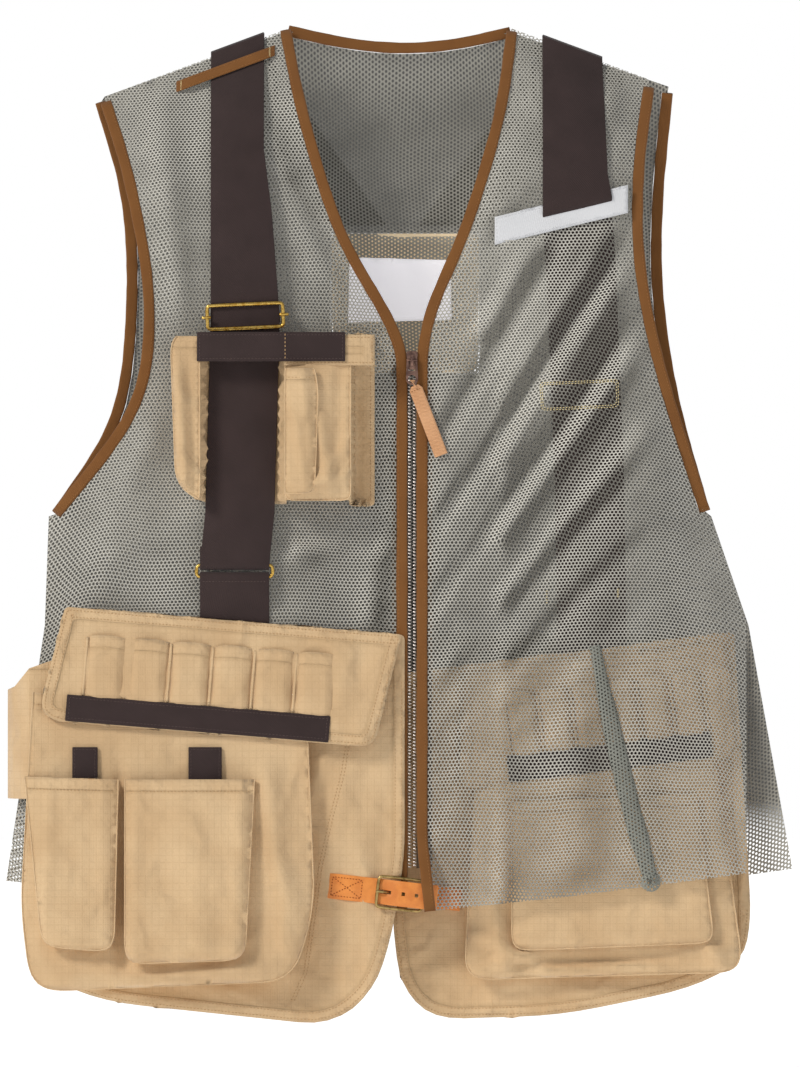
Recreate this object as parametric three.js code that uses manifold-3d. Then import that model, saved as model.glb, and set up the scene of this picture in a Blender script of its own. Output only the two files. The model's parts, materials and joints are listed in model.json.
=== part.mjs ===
// Fishing vest: an open sport-mesh waistcoat with cloth-bound edges and a metal zip, worn over
// webbing shoulder straps that carry ripstop waist panels with bellows pockets.
// Millimetres, +Z up, front towards -Y, +X to the viewer's right (the wearer's left).
// The origin is the point under the back-neck binding where a peg or hanger neck holds the vest.
import * as THREE from 'three';
import { mergeVertices } from 'three/addons/utils/BufferGeometryUtils.js';
import Module from 'manifold-3d';

const wasm = await Module();
wasm.setup();

// Overall sizes
const hemHalf = 295; // centre to side at the mesh hem
const meshLength = 640; // hanging point to the mesh hem
const bodyDepth = 40; // centre plane to the inside of either mesh sheet
const underarmDrop = 348;
const shoulderHalf = 222; // centre to the shoulder tip
const shoulderSlope = 0.37;
const shoulderRun = 100; // height over which the shoulders round off
const neckHalf = 83;
const neckRise = 19; // shoulder at the neck, above the hanging point

// Materials' thicknesses and the gaps between pieces
const meshT = 1.2;
const clothT = 1.6;
const webT = 2;
const seam = 0.3; // between two pieces that are sewn together
const bindingW = 8;
const bindingT = 2.4;

// Zip
const zipX = 9;
const zipTop = -232;
const zipBottom = -612;
const toothW = 2.4;
const toothGap = 0.7; // half of the slot that the slider's web runs in
const toothT = 2.9;
const zipTapeW = 12;
const zipTapeT = 0.8;
const sliderL = 14;
const sliderW = 9;
const sliderPlate = 1.2;

// Shoulder straps and their metalwork
const webW = 52;
const strapX = -116; // middle of the front strap
const strapTopW = 40; // where the strap tips over the shoulder
const pouchUnder = 9; // room that the pouch keeps between mesh and strap
const ringZ = -389;
const ringH = 12;
const ringW = 60;
const ringWire = 1.5;
const adjusterZ = -198;
const adjusterW = 60;
const adjusterH = 21;
const adjusterWire = 1.6;
const adjusterTilt = 2.5;

// Chest pouch
const pouchL = -172;
const pouchR = -19;
const pouchTop = -209;
const pouchBottom = -340;
const pouchPuff = 15; // how far the pockets stand in front of the pouch's back
const keeperH = 22;

// Wearer's-right waist panel
const panelTopL = [-251, -416];
const panelTopR = [3.5, -437];
const panelBottom = -730;
const pocketWall = 1.5;
const flapH = 87;
const flapTilt = 8.5;
const loopCount = 6;
const loopPitch = 31.5;
const loopPitchLeft = 25;
const loopFoot = 3.5; // flat cloth between two loops
const loopH = 46;
const loopRise = 8; // clear height inside a tool loop
const loopT = 1.2;
const bandH = 20;

// Leather strap and buckle
const leatherW = 19;
const leatherT = 2.2;
const buckleZ = -631;
const buckleTilt = 6.5;
const buckleW = 37;
const buckleH = 26;
const buckleWire = 1.4;

const V3 = (x, y, z) => new THREE.Vector3(x, y, z);
const rad = THREE.MathUtils.degToRad;
const vest = new THREE.Group();

// ---------------------------------------------------------------- materials
const finish = (color, roughness, metalness = 0) => ({ color, roughness, metalness });
const looks = {
  mesh: finish('#928e85', 0.75),
  binding: finish('#79502c', 0.85),
  webbing: finish('#3f3030', 0.85),
  khaki: finish('#d0b18b', 0.85),
  brass: finish('#c9a24a', 0.3, 1),
  antique: finish('#9a8454', 0.4, 1),
  leather: finish('#dc8433', 0.55),
  ribbon: finish('#c98d55', 0.85),
  slider: finish('#7b5e55', 0.35, 1),
  teeth: finish('#8b8378', 0.35, 1),
  zipTape: finish('#5a4a3c', 0.9),
  tape: finish('#d1d0d0', 0.8),
  label: finish('#efecf2', 0.7),
};

// ---------------------------------------------------------------- solids
function toManifold(geometry) {
  const bare = new THREE.BufferGeometry();
  const flat = geometry.index ? geometry.toNonIndexed() : geometry;
  bare.setAttribute('position', flat.getAttribute('position').clone());
  const merged = mergeVertices(bare, 1e-4);
  return new wasm.Manifold(new wasm.Mesh({
    numProp: 3,
    vertProperties: merged.attributes.position.array,
    triVerts: new Uint32Array(merged.index.array),
  }));
}

function fromManifold(solid) {
  const data = solid.getMesh();
  const geometry = new THREE.BufferGeometry();
  const corners = new THREE.BufferAttribute(new Float32Array(data.vertProperties), 3);
  geometry.setAttribute('position', corners);
  geometry.setIndex(new THREE.BufferAttribute(new Uint32Array(data.triVerts), 1));
  geometry.computeVertexNormals();
  return geometry;
}

const join = (...solids) => solids.reduce((all, one) => all.add(one));

/** A closed solid through rings of points; each ring has the same count, and it can close on itself. */
function loft(rings, closed = false) {
  const n = rings[0].length;
  const positions = rings.flat().flatMap((p) => [p.x, p.y, p.z]);
  const index = [];
  const last = closed ? rings.length : rings.length - 1;
  for (let i = 0; i < last; i++) {
    const next = ((i + 1) % rings.length) * n;
    for (let j = 0; j < n; j++) {
      const k = (j + 1) % n;
      index.push(i * n + j, i * n + k, next + k, i * n + j, next + k, next + j);
    }
  }
  if (!closed) {
    const end = (rings.length - 1) * n;
    for (let j = 1; j < n - 1; j++) {
      index.push(0, j + 1, j, end, end + j, end + j + 1);
    }
  }
  const geometry = new THREE.BufferGeometry();
  geometry.setAttribute('position', new THREE.Float32BufferAttribute(positions, 3));
  geometry.setIndex(volume(positions, index) < 0 ? index.reverse() : index);
  return geometry;
}

function volume(positions, index) {
  let sum = 0;
  const at = (i) => V3(positions[3 * i], positions[3 * i + 1], positions[3 * i + 2]);
  for (let i = 0; i < index.length; i += 3) {
    sum += at(index[i]).dot(at(index[i + 1]).cross(at(index[i + 2])));
  }
  return sum / 6;
}

/** Flat strip of cloth or leather: left and right edge points in order, and a thickness. */
function ribbon(lefts, rights, thickness) {
  const mid = lefts.map((l, i) => l.clone().add(rights[i]).multiplyScalar(0.5));
  const rings = lefts.map((l, i) => {
    const along = mid[Math.min(i + 1, mid.length - 1)].clone().sub(mid[Math.max(i - 1, 0)]);
    const off = along.cross(rights[i].clone().sub(l)).setLength(thickness / 2);
    const r = rights[i];
    return [l.clone().add(off), r.clone().add(off), r.clone().sub(off), l.clone().sub(off)];
  });
  return loft(rings);
}

/** Ribbon of one width along X whose path runs in the YZ plane. */
const strip = (path, x, width, thickness) => ribbon(
  path.map(([y, z]) => V3(x - width / 2, y, z)),
  path.map(([y, z]) => V3(x + width / 2, y, z)),
  thickness,
);

/** Round wire bent into a closed loop that lies in the XZ plane. */
function wireLoop(width, height, corner, wire) {
  const x = width / 2 - wire - corner;
  const z = height / 2 - wire - corner;
  const rings = [];
  [[x, z, 0], [-x, z, 90], [-x, -z, 180], [x, -z, 270]].forEach(([cx, cz, start]) => {
    for (let step = 0; step <= 3; step++) {
      const a = rad(start + step * 30);
      const ring = [];
      for (let side = 0; side < 8; side++) {
        const b = (side * Math.PI) / 4;
        const r = corner + wire * Math.cos(b);
        ring.push(V3(cx + r * Math.cos(a), wire * Math.sin(b), cz + r * Math.sin(a)));
      }
      rings.push(ring);
    }
  });
  return loft(rings, true);
}

/** Share of an edge that a corner's rounding takes, never past its middle. */
const reach = (r, edge) => Math.min(0.49, r / edge.length());

/** Shape from [x, z, corner radius] points; a corner with a radius is rounded. */
function outline(points) {
  const shape = new THREE.Shape();
  points.forEach(([x, z, r = 0], i) => {
    const here = new THREE.Vector2(x, z);
    const before = new THREE.Vector2(...points.at(i - 1).slice(0, 2));
    const after = new THREE.Vector2(...points[(i + 1) % points.length].slice(0, 2));
    before.sub(here);
    after.sub(here);
    const a = here.clone().add(before.multiplyScalar(reach(r, before)));
    const b = here.clone().add(after.multiplyScalar(reach(r, after)));
    if (i === 0) shape.moveTo(a.x, a.y);
    else shape.lineTo(a.x, a.y);
    if (r > 0) shape.quadraticCurveTo(here.x, here.y, b.x, b.y);
  });
  return shape;
}

/** Solid of an XZ shape, running right through the vest along Y. */
function through(shape, from = -200, to = 200) {
  const run = { depth: to - from, bevelEnabled: false, curveSegments: 4 };
  const geometry = new THREE.ExtrudeGeometry(shape, run);
  return toManifold(geometry.rotateX(Math.PI / 2).translate(0, to, 0));
}

/** Sheet between two depth functions, cut to a shape; a row is a height or a drop below the shoulder. */
function sheet(shape, columns, rows, place, front, back) {
  const rings = rows.map((row) => {
    const spots = columns.map((s) => {
      const x = place(s, row.z ?? row);
      return [x, row.drop === undefined ? row : shoulderZ(x) - row.drop];
    });
    return [
      ...spots.map(([x, z]) => V3(x, front(x, z), z)),
      ...spots.toReversed().map(([x, z]) => V3(x, back(x, z), z)),
    ];
  });
  const n = columns.length;
  const positions = rings.flat().flatMap((p) => [p.x, p.y, p.z]);
  const index = [];
  const quad = (a, b, c, d) => index.push(a, b, c, a, c, d);
  rings.forEach((ring, i) => {
    const here = i * 2 * n;
    if (i < rings.length - 1) {
      for (let j = 0; j < 2 * n; j++) {
        const k = (j + 1) % (2 * n);
        quad(here + j, here + k, here + 2 * n + k, here + 2 * n + j);
      }
    }
    for (let j = 0; j < n - 1 && i === 0; j++) {
      quad(here + j + 1, here + j, here + 2 * n - 1 - j, here + 2 * n - 2 - j);
    }
    for (let j = 0; j < n - 1 && i === rings.length - 1; j++) {
      quad(here + j, here + j + 1, here + 2 * n - 2 - j, here + 2 * n - 1 - j);
    }
  });
  const geometry = new THREE.BufferGeometry();
  geometry.setAttribute('position', new THREE.Float32BufferAttribute(positions, 3));
  geometry.setIndex(volume(positions, index) < 0 ? index.reverse() : index);
  return toManifold(geometry).intersect(through(shape));
}

/** Flat plate of an XZ shape between two depths. */
const plate = (shape, front, back) => through(shape, front, back);

const box = (x0, x1, y0, y1, z0, z1) => toManifold(new THREE.BoxGeometry(x1 - x0, y1 - y0, z1 - z0)
  .translate((x0 + x1) / 2, (y0 + y1) / 2, (z0 + z1) / 2));

const rod = (radius, length, axis) => {
  const geometry = new THREE.CylinderGeometry(radius, radius, length, 12);
  if (axis === 'x') geometry.rotateZ(Math.PI / 2);
  if (axis === 'z') geometry.rotateX(Math.PI / 2);
  return geometry;
};

function add(name, solid, look, parent = vest) {
  const geometry = solid.isBufferGeometry ? solid : fromManifold(solid);
  const mesh = new THREE.Mesh(geometry, new THREE.MeshStandardMaterial(looks[look]));
  mesh.name = name;
  parent.add(mesh);
  return mesh;
}

// ---------------------------------------------------------------- the body of the garment
/** Half-widths of the mesh tube at a height: the side seams, which lean out to the hem. */
const sideStations = [
  { z: -underarmDrop, left: 264, right: 234 },
  { z: -430, left: 267, right: 262 },
  { z: -meshLength, left: hemHalf + 3, right: hemHalf + 3 },
];
function sideAt(z, side) {
  const [a, b, c] = sideStations;
  const [upper, lower] = z > b.z ? [a, b] : [b, c];
  const share = THREE.MathUtils.clamp((z - upper.z) / (lower.z - upper.z), 0, 1);
  return THREE.MathUtils.lerp(upper[side], lower[side], share);
}
const halfWidth = (x, z) => sideAt(z, x < 0 ? 'left' : 'right');
const shoulderZ = (x) => neckRise - shoulderSlope * Math.max(0, Math.abs(x) - neckHalf);

/** How far each sheet's inner face stands from the centre plane. */
function bulge(x, z) {
  const across = Math.max(0, 1 - (Math.abs(x) / halfWidth(x, z)) ** 8);
  const down = THREE.MathUtils.clamp((shoulderZ(x) - z) / shoulderRun, 0, 1);
  return seam / 2 + bodyDepth * across * Math.sin((down * Math.PI) / 2);
}

/** The closed front corner rides over the leather strap and buckle. */
const cornerLift = 14.5;
const cornerTop = -616; // full lift below this height
const cornerEase = 26;
function frontLeftIn(x, z) {
  const aside = Math.max(0, Math.abs(x - 16) - 14) / 50;
  const above = Math.max(0, z - cornerTop) / cornerEase;
  const away = Math.min(1, Math.hypot(aside, above));
  return -bulge(x, z) - cornerLift * Math.cos((Math.PI / 2) * away);
}
const frontRightIn = (x, z) => -bulge(x, z);
const backIn = (x, z) => bulge(x, z);

const wide = [0.3, 0.5, 0.65, 0.76, 0.84, 0.9, 0.95, 1, 1.03];
const columnsRight = [...wide.toReversed().map((s) => -s), 0, 0.06];
const columnsLeft = [0, 0.06, 0.12, 0.17, 0.22, ...wide];
const columns = [...wide.toReversed().map((s) => -s), 0, ...wide];
const shoulderRows = [-14, 0, 12, 28, 48, 72, shoulderRun].map((drop) => ({ drop, z: 0 }));
const rows = [...shoulderRows, -underarmDrop + 160, -underarmDrop, -430, -520, -560, -600, -660];
const rowsLeft = [...rows.slice(0, -2), cornerTop + cornerEase, -600, -608, cornerTop, -660];
const onBody = (s, z) => s * sideAt(z, s < 0 ? 'left' : 'right');

const spline = (points, count) => new THREE.SplineCurve(points.map(([x, z]) => new THREE.Vector2(x, z)))
  .getPoints(count).map((p) => [p.x, p.y]);

// Edge lines of the sheets, each along the middle of its binding
const zipEdge = toothGap + toothW + seam + 0.1 + bindingW / 2;
const neckRightLine = [[-neckHalf - 3, neckRise - 2], [-72, -50], [-45, -135], [-10, -198]];
const neckLeftLine = [[neckHalf + 1, neckRise - 3], [74, -50], [50, -130], [24, -192]];
const frontRightEdge = [
  ...spline([...neckRightLine, [zipX - zipEdge, -226]], 12),
  [zipX - zipEdge, -meshLength - 2],
];
const frontLeftEdge = [
  ...spline([...neckLeftLine, [zipX + zipEdge, -228]], 12),
  [zipX + zipEdge, -560],
  [zipX + zipEdge, cornerTop + cornerEase],
  [zipX + zipEdge + 1, -600],
  [zipX + zipEdge + 2, -608],
  [zipX + zipEdge + 3, cornerTop],
  [zipX + zipEdge + 6, -meshLength - 4],
];
const neckBackEdge = spline([
  [-neckHalf - 1, neckRise - 2], [-42, 8], [0, 4], [42, 7], [neckHalf, neckRise - 3],
], 10);
const armRightFront = spline([
  [-shoulderHalf + 1, -37], [-202, -100], [-188, -190], [-200, -268], [-258, 2 - underarmDrop],
], 14);
const armRightBack = spline([
  [-shoulderHalf - 3, -37], [-206, -107], [-202, -190], [-214, -275], [-258, 2 - underarmDrop],
], 14);
const armLeftFront = spline([
  [187, -26], [179, -90], [180, -160], [196, -240], [229, 4 - underarmDrop],
], 14);
const armLeftBack = spline([
  [201, -30], [194, -110], [194, -180], [206, -260], [229, 4 - underarmDrop],
], 14);

/** Binding folded over a sheet's edge: follows the sheet in depth, and stands out at its outer side. */
function binding(line, inside, outward, grow = 0) {
  const half = bindingW / 2 + grow;
  const rings = line.map(([x, z], i) => {
    const [bx, bz] = line[Math.max(i - 1, 0)];
    const [ax, az] = line[Math.min(i + 1, line.length - 1)];
    const run = new THREE.Vector2(ax - bx, az - bz).setLength(half);
    const start = i === 0 ? -grow : 0;
    const end = i === line.length - 1 ? grow : 0;
    const unit = run.clone().normalize();
    const ring = [];
    [[-1, 0], [1, 0], [1, 1], [-1, 1]].forEach(([side, out]) => {
      const px = x - side * run.y + unit.x * (start + end);
      const pz = z + side * run.x + unit.y * (start + end);
      const y = inside(px, pz) + outward * (out ? bindingT + grow : -grow);
      ring.push(V3(px, y, pz));
    });
    return ring;
  });
  return loft(rings);
}

const shapeOf = (...runs) => {
  const points = runs.flat();
  const shape = new THREE.Shape();
  shape.moveTo(...points[0]);
  points.slice(1).forEach(([x, z]) => shape.lineTo(x, z));
  return shape;
};

const hemCornerL = [-hemHalf - 1, -meshLength + 18];
const hemCornerR = [hemHalf, -meshLength + 27];
const vent = [[sideAt(-425, 'right'), -425], [hemHalf - 35, -meshLength + 24]];

const backShape = shapeOf(
  neckBackEdge,
  [[shoulderHalf - 20, shoulderZ(shoulderHalf - 20)]],
  armLeftBack,
  [[sideAt(-underarmDrop, 'right'), -underarmDrop], [sideAt(-430, 'right'), -430], hemCornerR],
  [[150, -meshLength + 5], [0, -meshLength], [-150, -meshLength + 3], hemCornerL],
  [[-sideAt(-430, 'left'), -430], [-sideAt(-underarmDrop, 'left'), -underarmDrop]],
  armRightBack.toReversed(),
  [[-shoulderHalf, shoulderZ(shoulderHalf)]],
);
const frontRightShape = shapeOf(
  frontRightEdge,
  [[-150, -meshLength + 3], hemCornerL],
  [[-sideAt(-430, 'left'), -430], [-sideAt(-underarmDrop, 'left'), -underarmDrop]],
  armRightFront.toReversed(),
  [[-shoulderHalf, shoulderZ(shoulderHalf)], [-neckHalf, neckRise]],
);
const frontLeftShape = shapeOf(
  frontLeftEdge,
  [[120, -meshLength + 6], vent[1], vent[0], [sideAt(-underarmDrop, 'right'), -underarmDrop]],
  armLeftFront.toReversed(),
  [[187, shoulderZ(187)], [neckHalf, neckRise]],
);

const bindings = [
  ['binding_neck_back', neckBackEdge, backIn, 1],
  ['binding_armhole_right_back', armRightBack, backIn, 1],
  ['binding_armhole_left_back', armLeftBack, backIn, 1],
  ['binding_front_right', frontRightEdge, frontRightIn, -1],
  ['binding_armhole_right_front', armRightFront, frontRightIn, -1],
  ['binding_front_left', frontLeftEdge, frontLeftIn, -1],
  ['binding_armhole_left_front', armLeftFront, frontLeftIn, -1],
];
bindings.forEach(([name, line, inside, outward]) => {
  add(name, toManifold(binding(line, inside, outward)), 'binding');
});
const bindingRoom = bindings.map(([, line, inside, outward]) => toManifold(
  binding(line, inside, outward, seam),
));
const clearOfBindings = (solid) => bindingRoom.reduce((left, room) => left.subtract(room), solid);

/** Largest connected piece, without the slivers that a cut leaves outside a binding. */
const whole = (solid) => solid.decompose().sort((a, b) => b.volume() - a.volume())[0];

const outOf = (inside, sign, t) => (x, z) => inside(x, z) + sign * t;
const meshBack = sheet(backShape, columns, rows, onBody, backIn, outOf(backIn, 1, meshT));
const outRight = outOf(frontRightIn, -1, meshT);
const outLeft = outOf(frontLeftIn, -1, meshT);
const meshRight = sheet(frontRightShape, columnsRight, rows, onBody, frontRightIn, outRight);
const meshLeft = sheet(frontLeftShape, columnsLeft, rowsLeft, onBody, frontLeftIn, outLeft);

// Slit in the wearer's-left front, where the other shoulder strap goes inside
const slitStart = [71, -134];
const slitRun = 100;
const slitRise = 0.24;
const slitH = 9;
const slitTapeH = 21;
const slitTapeT = 0.8;
const slitZ = (x) => slitStart[1] + slitRise * (x - slitStart[0]);
const strapLeftL = 107;
const slitShape = (height, x0, x1) => outline([
  [x0, slitZ(x0) - height / 2], [x1, slitZ(x1) - height / 2],
  [x1, slitZ(x1) + height / 2], [x0, slitZ(x0) + height / 2],
]);
const slitHole = slitShape(slitH, strapLeftL - 4, strapLeftL + webW + 6);
const meshFace = -bodyDepth - seam / 2 - meshT; // the flat of the front, outside
const slitTapeShape = slitShape(slitTapeH, slitStart[0], slitStart[0] + slitRun);
const slitTape = plate(slitTapeShape, meshFace - seam - slitTapeT, meshFace - seam)
  .subtract(through(slitHole));

add('mesh_back', whole(clearOfBindings(meshBack)), 'mesh');
add('mesh_front_right', whole(clearOfBindings(meshRight)), 'mesh');
add('mesh_front_left', whole(clearOfBindings(meshLeft).subtract(through(slitHole, -200, 0))), 'mesh');
add('slit_tape', slitTape, 'tape');

// ---------------------------------------------------------------- zip
const tapeIn = -bodyDepth - seam / 2 + seam; // face of the zip tape towards the mesh
for (const [side, sign] of [['right', -1], ['left', 1]]) {
  const toothEdge = zipX + sign * toothGap;
  const outer = toothEdge + sign * toothW;
  const tapeEdge = outer + sign * zipTapeW;
  add(`zip_teeth_${side}`, box(
    Math.min(toothEdge, outer), Math.max(toothEdge, outer),
    tapeIn - toothT + zipTapeT, tapeIn + zipTapeT, zipBottom, zipTop,
  ), 'teeth');
  add(`zip_tape_${side}`, box(
    Math.min(outer + sign * 0.2, tapeEdge), Math.max(outer + sign * 0.2, tapeEdge),
    tapeIn, tapeIn + zipTapeT, zipBottom, zipTop + 6,
  ), 'zipTape');
}

const sliderTop = zipTop + 8;
const plateFront = -bodyDepth - seam / 2 - bindingT - seam;
const plateBack = tapeIn + zipTapeT + 0.35;
const sliderShape = outline([
  [zipX - sliderW / 2, sliderTop, 2.5], [zipX + sliderW / 2, sliderTop, 2.5],
  [zipX + sliderW / 2 - 1.5, sliderTop - sliderL, 1], [zipX - sliderW / 2 + 1.5, sliderTop - sliderL, 1],
].toReversed());
const crownZ = sliderTop - sliderL / 2;
const crownRise = 4.4;
const crownT = 1.3;
const crownHalf = 4.2;
const plateFace = plateFront - sliderPlate;
const crownFront = plateFace - crownRise;
const underCrown = crownHalf - crownT;
const crown = box(zipX - 1, zipX + 1, crownFront, plateFace + 0.2, crownZ - crownHalf, crownZ + crownHalf)
  .subtract(box(zipX - 3, zipX + 3, crownFront + crownT, plateFace, crownZ - underCrown, crownZ + underCrown));
const webRoom = toothGap - seam;
add('zip_slider', join(
  plate(sliderShape, plateFace, plateFront),
  plate(sliderShape, plateBack, plateBack + sliderPlate),
  box(zipX - webRoom, zipX + webRoom, plateFront - 0.2, plateBack + 0.2, sliderTop - sliderL, sliderTop),
  crown,
), 'slider');

// Pull: a crossbar under the crown, two arms and a ring that holds the ribbon
const pullT = 1.6;
const pullY = plateFace - 1.9;
const pullHoleZ = crownZ - 14;
const pullRing = [3, 4.6];
const pullPlate = through(outline([
  [zipX - 4, crownZ - 0.8], [zipX - pullRing[1], pullHoleZ, 0], [zipX + pullRing[1], pullHoleZ, 0],
  [zipX + 4, crownZ - 0.8],
]), pullY - pullT / 2, pullY + pullT / 2);
const at = (geometry, x, y, z) => toManifold(geometry.translate(x, y, z));
add('zip_pull', join(pullPlate, at(rod(pullRing[1], pullT, 'y'), zipX, pullY, pullHoleZ))
  .subtract(at(rod(pullRing[0], 9, 'y'), zipX, pullY, pullHoleZ))
  .subtract(box(zipX - 2.4, zipX + 2.4, pullY - 5, pullY + 5, crownZ - 8, crownZ + 3))
  .add(at(rod(0.85, 8, 'x'), zipX, pullY, crownZ)), 'slider');

// Grosgrain ribbon looped through the pull's ring, hanging askew
const ribbonW = 10;
const ribbonL = 56;
const ribbonT = 2.4;
const ribbonSwing = 21;
const loopSide = pullT / 2 + 0.4;
const ribbonAt = new THREE.Group();
ribbonAt.position.set(zipX, pullY, pullHoleZ);
ribbonAt.rotation.y = rad(-ribbonSwing);
vest.add(ribbonAt);
const ribbonTop = -pullRing[1] - 0.7;
add('zip_ribbon', join(
  box(-ribbonW / 2, ribbonW / 2, -ribbonT / 2, ribbonT / 2, ribbonTop - ribbonL, ribbonTop),
  box(-1.5, 1.5, -loopSide - 0.8, -loopSide, ribbonTop - 3, -0.5),
  box(-1.5, 1.5, loopSide, loopSide + 0.8, ribbonTop - 3, -0.5),
  box(-1.5, 1.5, -loopSide - 0.8, loopSide + 0.8, -1.5, -0.5),
), 'ribbon', ribbonAt);

// ---------------------------------------------------------------- shoulder straps
const strapY = meshFace - seam - pouchUnder - seam - webT / 2; // middle of the hanging strap
const off = meshT + webT / 2 + 1; // strap's middle from a sheet's inner face
const hookR = ringWire + 0.4 + webT / 2;
const ringBarZ = ringZ + ringH / 2 - ringWire;

/** Half circle of [y, z] points round a bar, from one leg to the other. */
const turn = (y, z, r, from, to) => Array.from({ length: 7 }, (_, i) => {
  const a = rad(from + ((to - from) * i) / 6);
  return [y + r * Math.cos(a), z + r * Math.sin(a)];
});

const strapRightPath = [];
const legL = strapX - webW / 2;
const legR = strapX + webW / 2;
const pushRight = (xl, yl, zl, xr, yr, zr) => strapRightPath.push([V3(xl, yl, zl), V3(xr, yr, zr)]);
pushRight(legL - 8, strapY + 2 * hookR, ringBarZ + 14, legR - 8, strapY + 2 * hookR, ringBarZ + 14);
turn(strapY + hookR, ringBarZ, hookR, 0, -180).forEach(([y, z]) => pushRight(legL - 8, y, z, legR - 8, y, z));
pushRight(legL - 4, strapY, -345, legR - 4, strapY, -345);
pushRight(legL, strapY, -200, legR, strapY, -200);
pushRight(legL, strapY, -120, legR - 6, strapY, -120);
const shoulderL = -142;
const shoulderR = shoulderL + strapTopW;
const easing = [[85, 0.85], [62, 0.6], [40, 0.34], [20, 0.1], [8, 0]];
easing.forEach(([drop, slack]) => {
  const zl = shoulderZ(shoulderL) - drop;
  const zr = shoulderZ(shoulderR) - drop;
  const extra = slack * (pouchUnder + 1);
  const yl = -bulge(shoulderL, zl) - off - extra;
  const yr = -bulge(shoulderR, zr) - off - extra;
  pushRight(shoulderL, yl, zl, shoulderR, yr, zr);
});
[-50, 0, 50].forEach((a) => {
  const y = (off + 1.6) * Math.sin(rad(a));
  const up = off * Math.cos(rad(a));
  pushRight(shoulderL, y, shoulderZ(shoulderL) + up, shoulderR, y, shoulderZ(shoulderR) + up);
});
const patchTop = -111;
function runBack(push, xl, xr, toL, toR) {
  for (let i = 0; i <= 10; i++) {
    const share = i / 10;
    const drop = 9 + 12 * i;
    const a = THREE.MathUtils.lerp(xl, toL, share);
    const b = THREE.MathUtils.lerp(xr, toR, share);
    const zl = shoulderZ(xl) * (1 - share) - drop;
    const zr = shoulderZ(xr) * (1 - share) - drop;
    push(a, bulge(a, zl) + off + 0.4, zl, b, bulge(b, zr) + off + 0.4, zr);
  }
}
runBack(pushRight, shoulderL, shoulderR, -62, -10);
add('strap_right', ribbon(strapRightPath.map((p) => p[0]), strapRightPath.map((p) => p[1]), webT), 'webbing');

const strapLeftPath = [];
const pushLeft = (xl, yl, zl, xr, yr, zr) => strapLeftPath.push([V3(xl, yl, zl), V3(xr, yr, zr)]);
const leftPanelY = -7; // front face of the wearer's-left panel
const leftPanelTopL = [0, -466];
const leftPanelTopR = [251, -435];
const strapLeftR = strapLeftL + webW;
const panelEdgeZ = (x) => THREE.MathUtils.mapLinear(
  x, leftPanelTopL[0], leftPanelTopR[0], leftPanelTopL[1], leftPanelTopR[1],
);
const footL = 118; // the strap's lower end on the panel's top edge
const footR = footL + webW;
const footY = leftPanelY + clothT / 2;
pushLeft(footL, footY, panelEdgeZ(footL) + 0.4, footR, footY, panelEdgeZ(footR) + 0.4);
pushLeft(footL, leftPanelY - 6, panelEdgeZ(footL) + 26, footR, leftPanelY - 6, panelEdgeZ(footR) + 26);
pushLeft(footL - 2, -28, -320, footR - 2, -28, -312);
pushLeft(strapLeftL + 3, -36.5, -170, strapLeftR + 3, -34.5, -160);
const slitZL = slitZ(strapLeftL);
const slitZR = slitZ(strapLeftR);
pushLeft(strapLeftL, -36.8, slitZL - 4.5, strapLeftR, -36.8, slitZR - 4.5);
pushLeft(strapLeftL, meshFace - 3.4, slitZL + 4.2, strapLeftR, meshFace - 3.4, slitZR + 4.2);
const strapLeftTopR = 152;
[[85, 0.8], [62, 0.5], [40, 0.25], [20, 0.1], [8, 0]].forEach(([drop, slack]) => {
  const right = THREE.MathUtils.lerp(strapLeftTopR, strapLeftR - 2, drop / 110);
  const zl = shoulderZ(strapLeftL) - drop;
  const zr = shoulderZ(strapLeftTopR) - drop;
  const yl = -bulge(strapLeftL, zl) - off - 2 * slack;
  const yr = -bulge(right, zr) - off - 2 * slack;
  pushLeft(strapLeftL, yl, zl, right, yr, zr);
});
[-50, 0, 50].forEach((a) => {
  const y = (off + 1.6) * Math.sin(rad(a));
  const up = off * Math.cos(rad(a));
  pushLeft(strapLeftL, y, shoulderZ(strapLeftL) + up, strapLeftTopR, y, shoulderZ(strapLeftTopR) + up);
});
runBack(pushLeft, strapLeftL, strapLeftTopR, 14, 66);
add('strap_left', ribbon(strapLeftPath.map((p) => p[0]), strapLeftPath.map((p) => p[1]), webT), 'webbing');

// Cloth tapes sewn over the shoulder seams, with the straps running beneath them
const shoulderTapeW = 8;
const tapeOver = off + webT / 2 + 0.5 + 0.6 + 0.8;
const shoulderTape = (x0, x1, drop, sign, clear) => {
  const stations = Array.from({ length: 9 }, (_, i) => THREE.MathUtils.lerp(x0, x1, i / 8));
  const edge = (lower) => stations.map((x, i) => {
    const z = shoulderZ(x) - drop - lower * shoulderTapeW;
    const lift = i === 0 || i === 8 ? meshT + 1.4 : clear;
    return V3(x, sign * (bulge(x, z) + lift), z);
  });
  return ribbon(edge(0), edge(1), 1.2);
};
add('shoulder_tape_right', shoulderTape(-168, -94, 9, -1, tapeOver + 1.2), 'binding');
add('shoulder_tape_left', shoulderTape(92, 168, 5, 1, tapeOver), 'binding');

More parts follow.
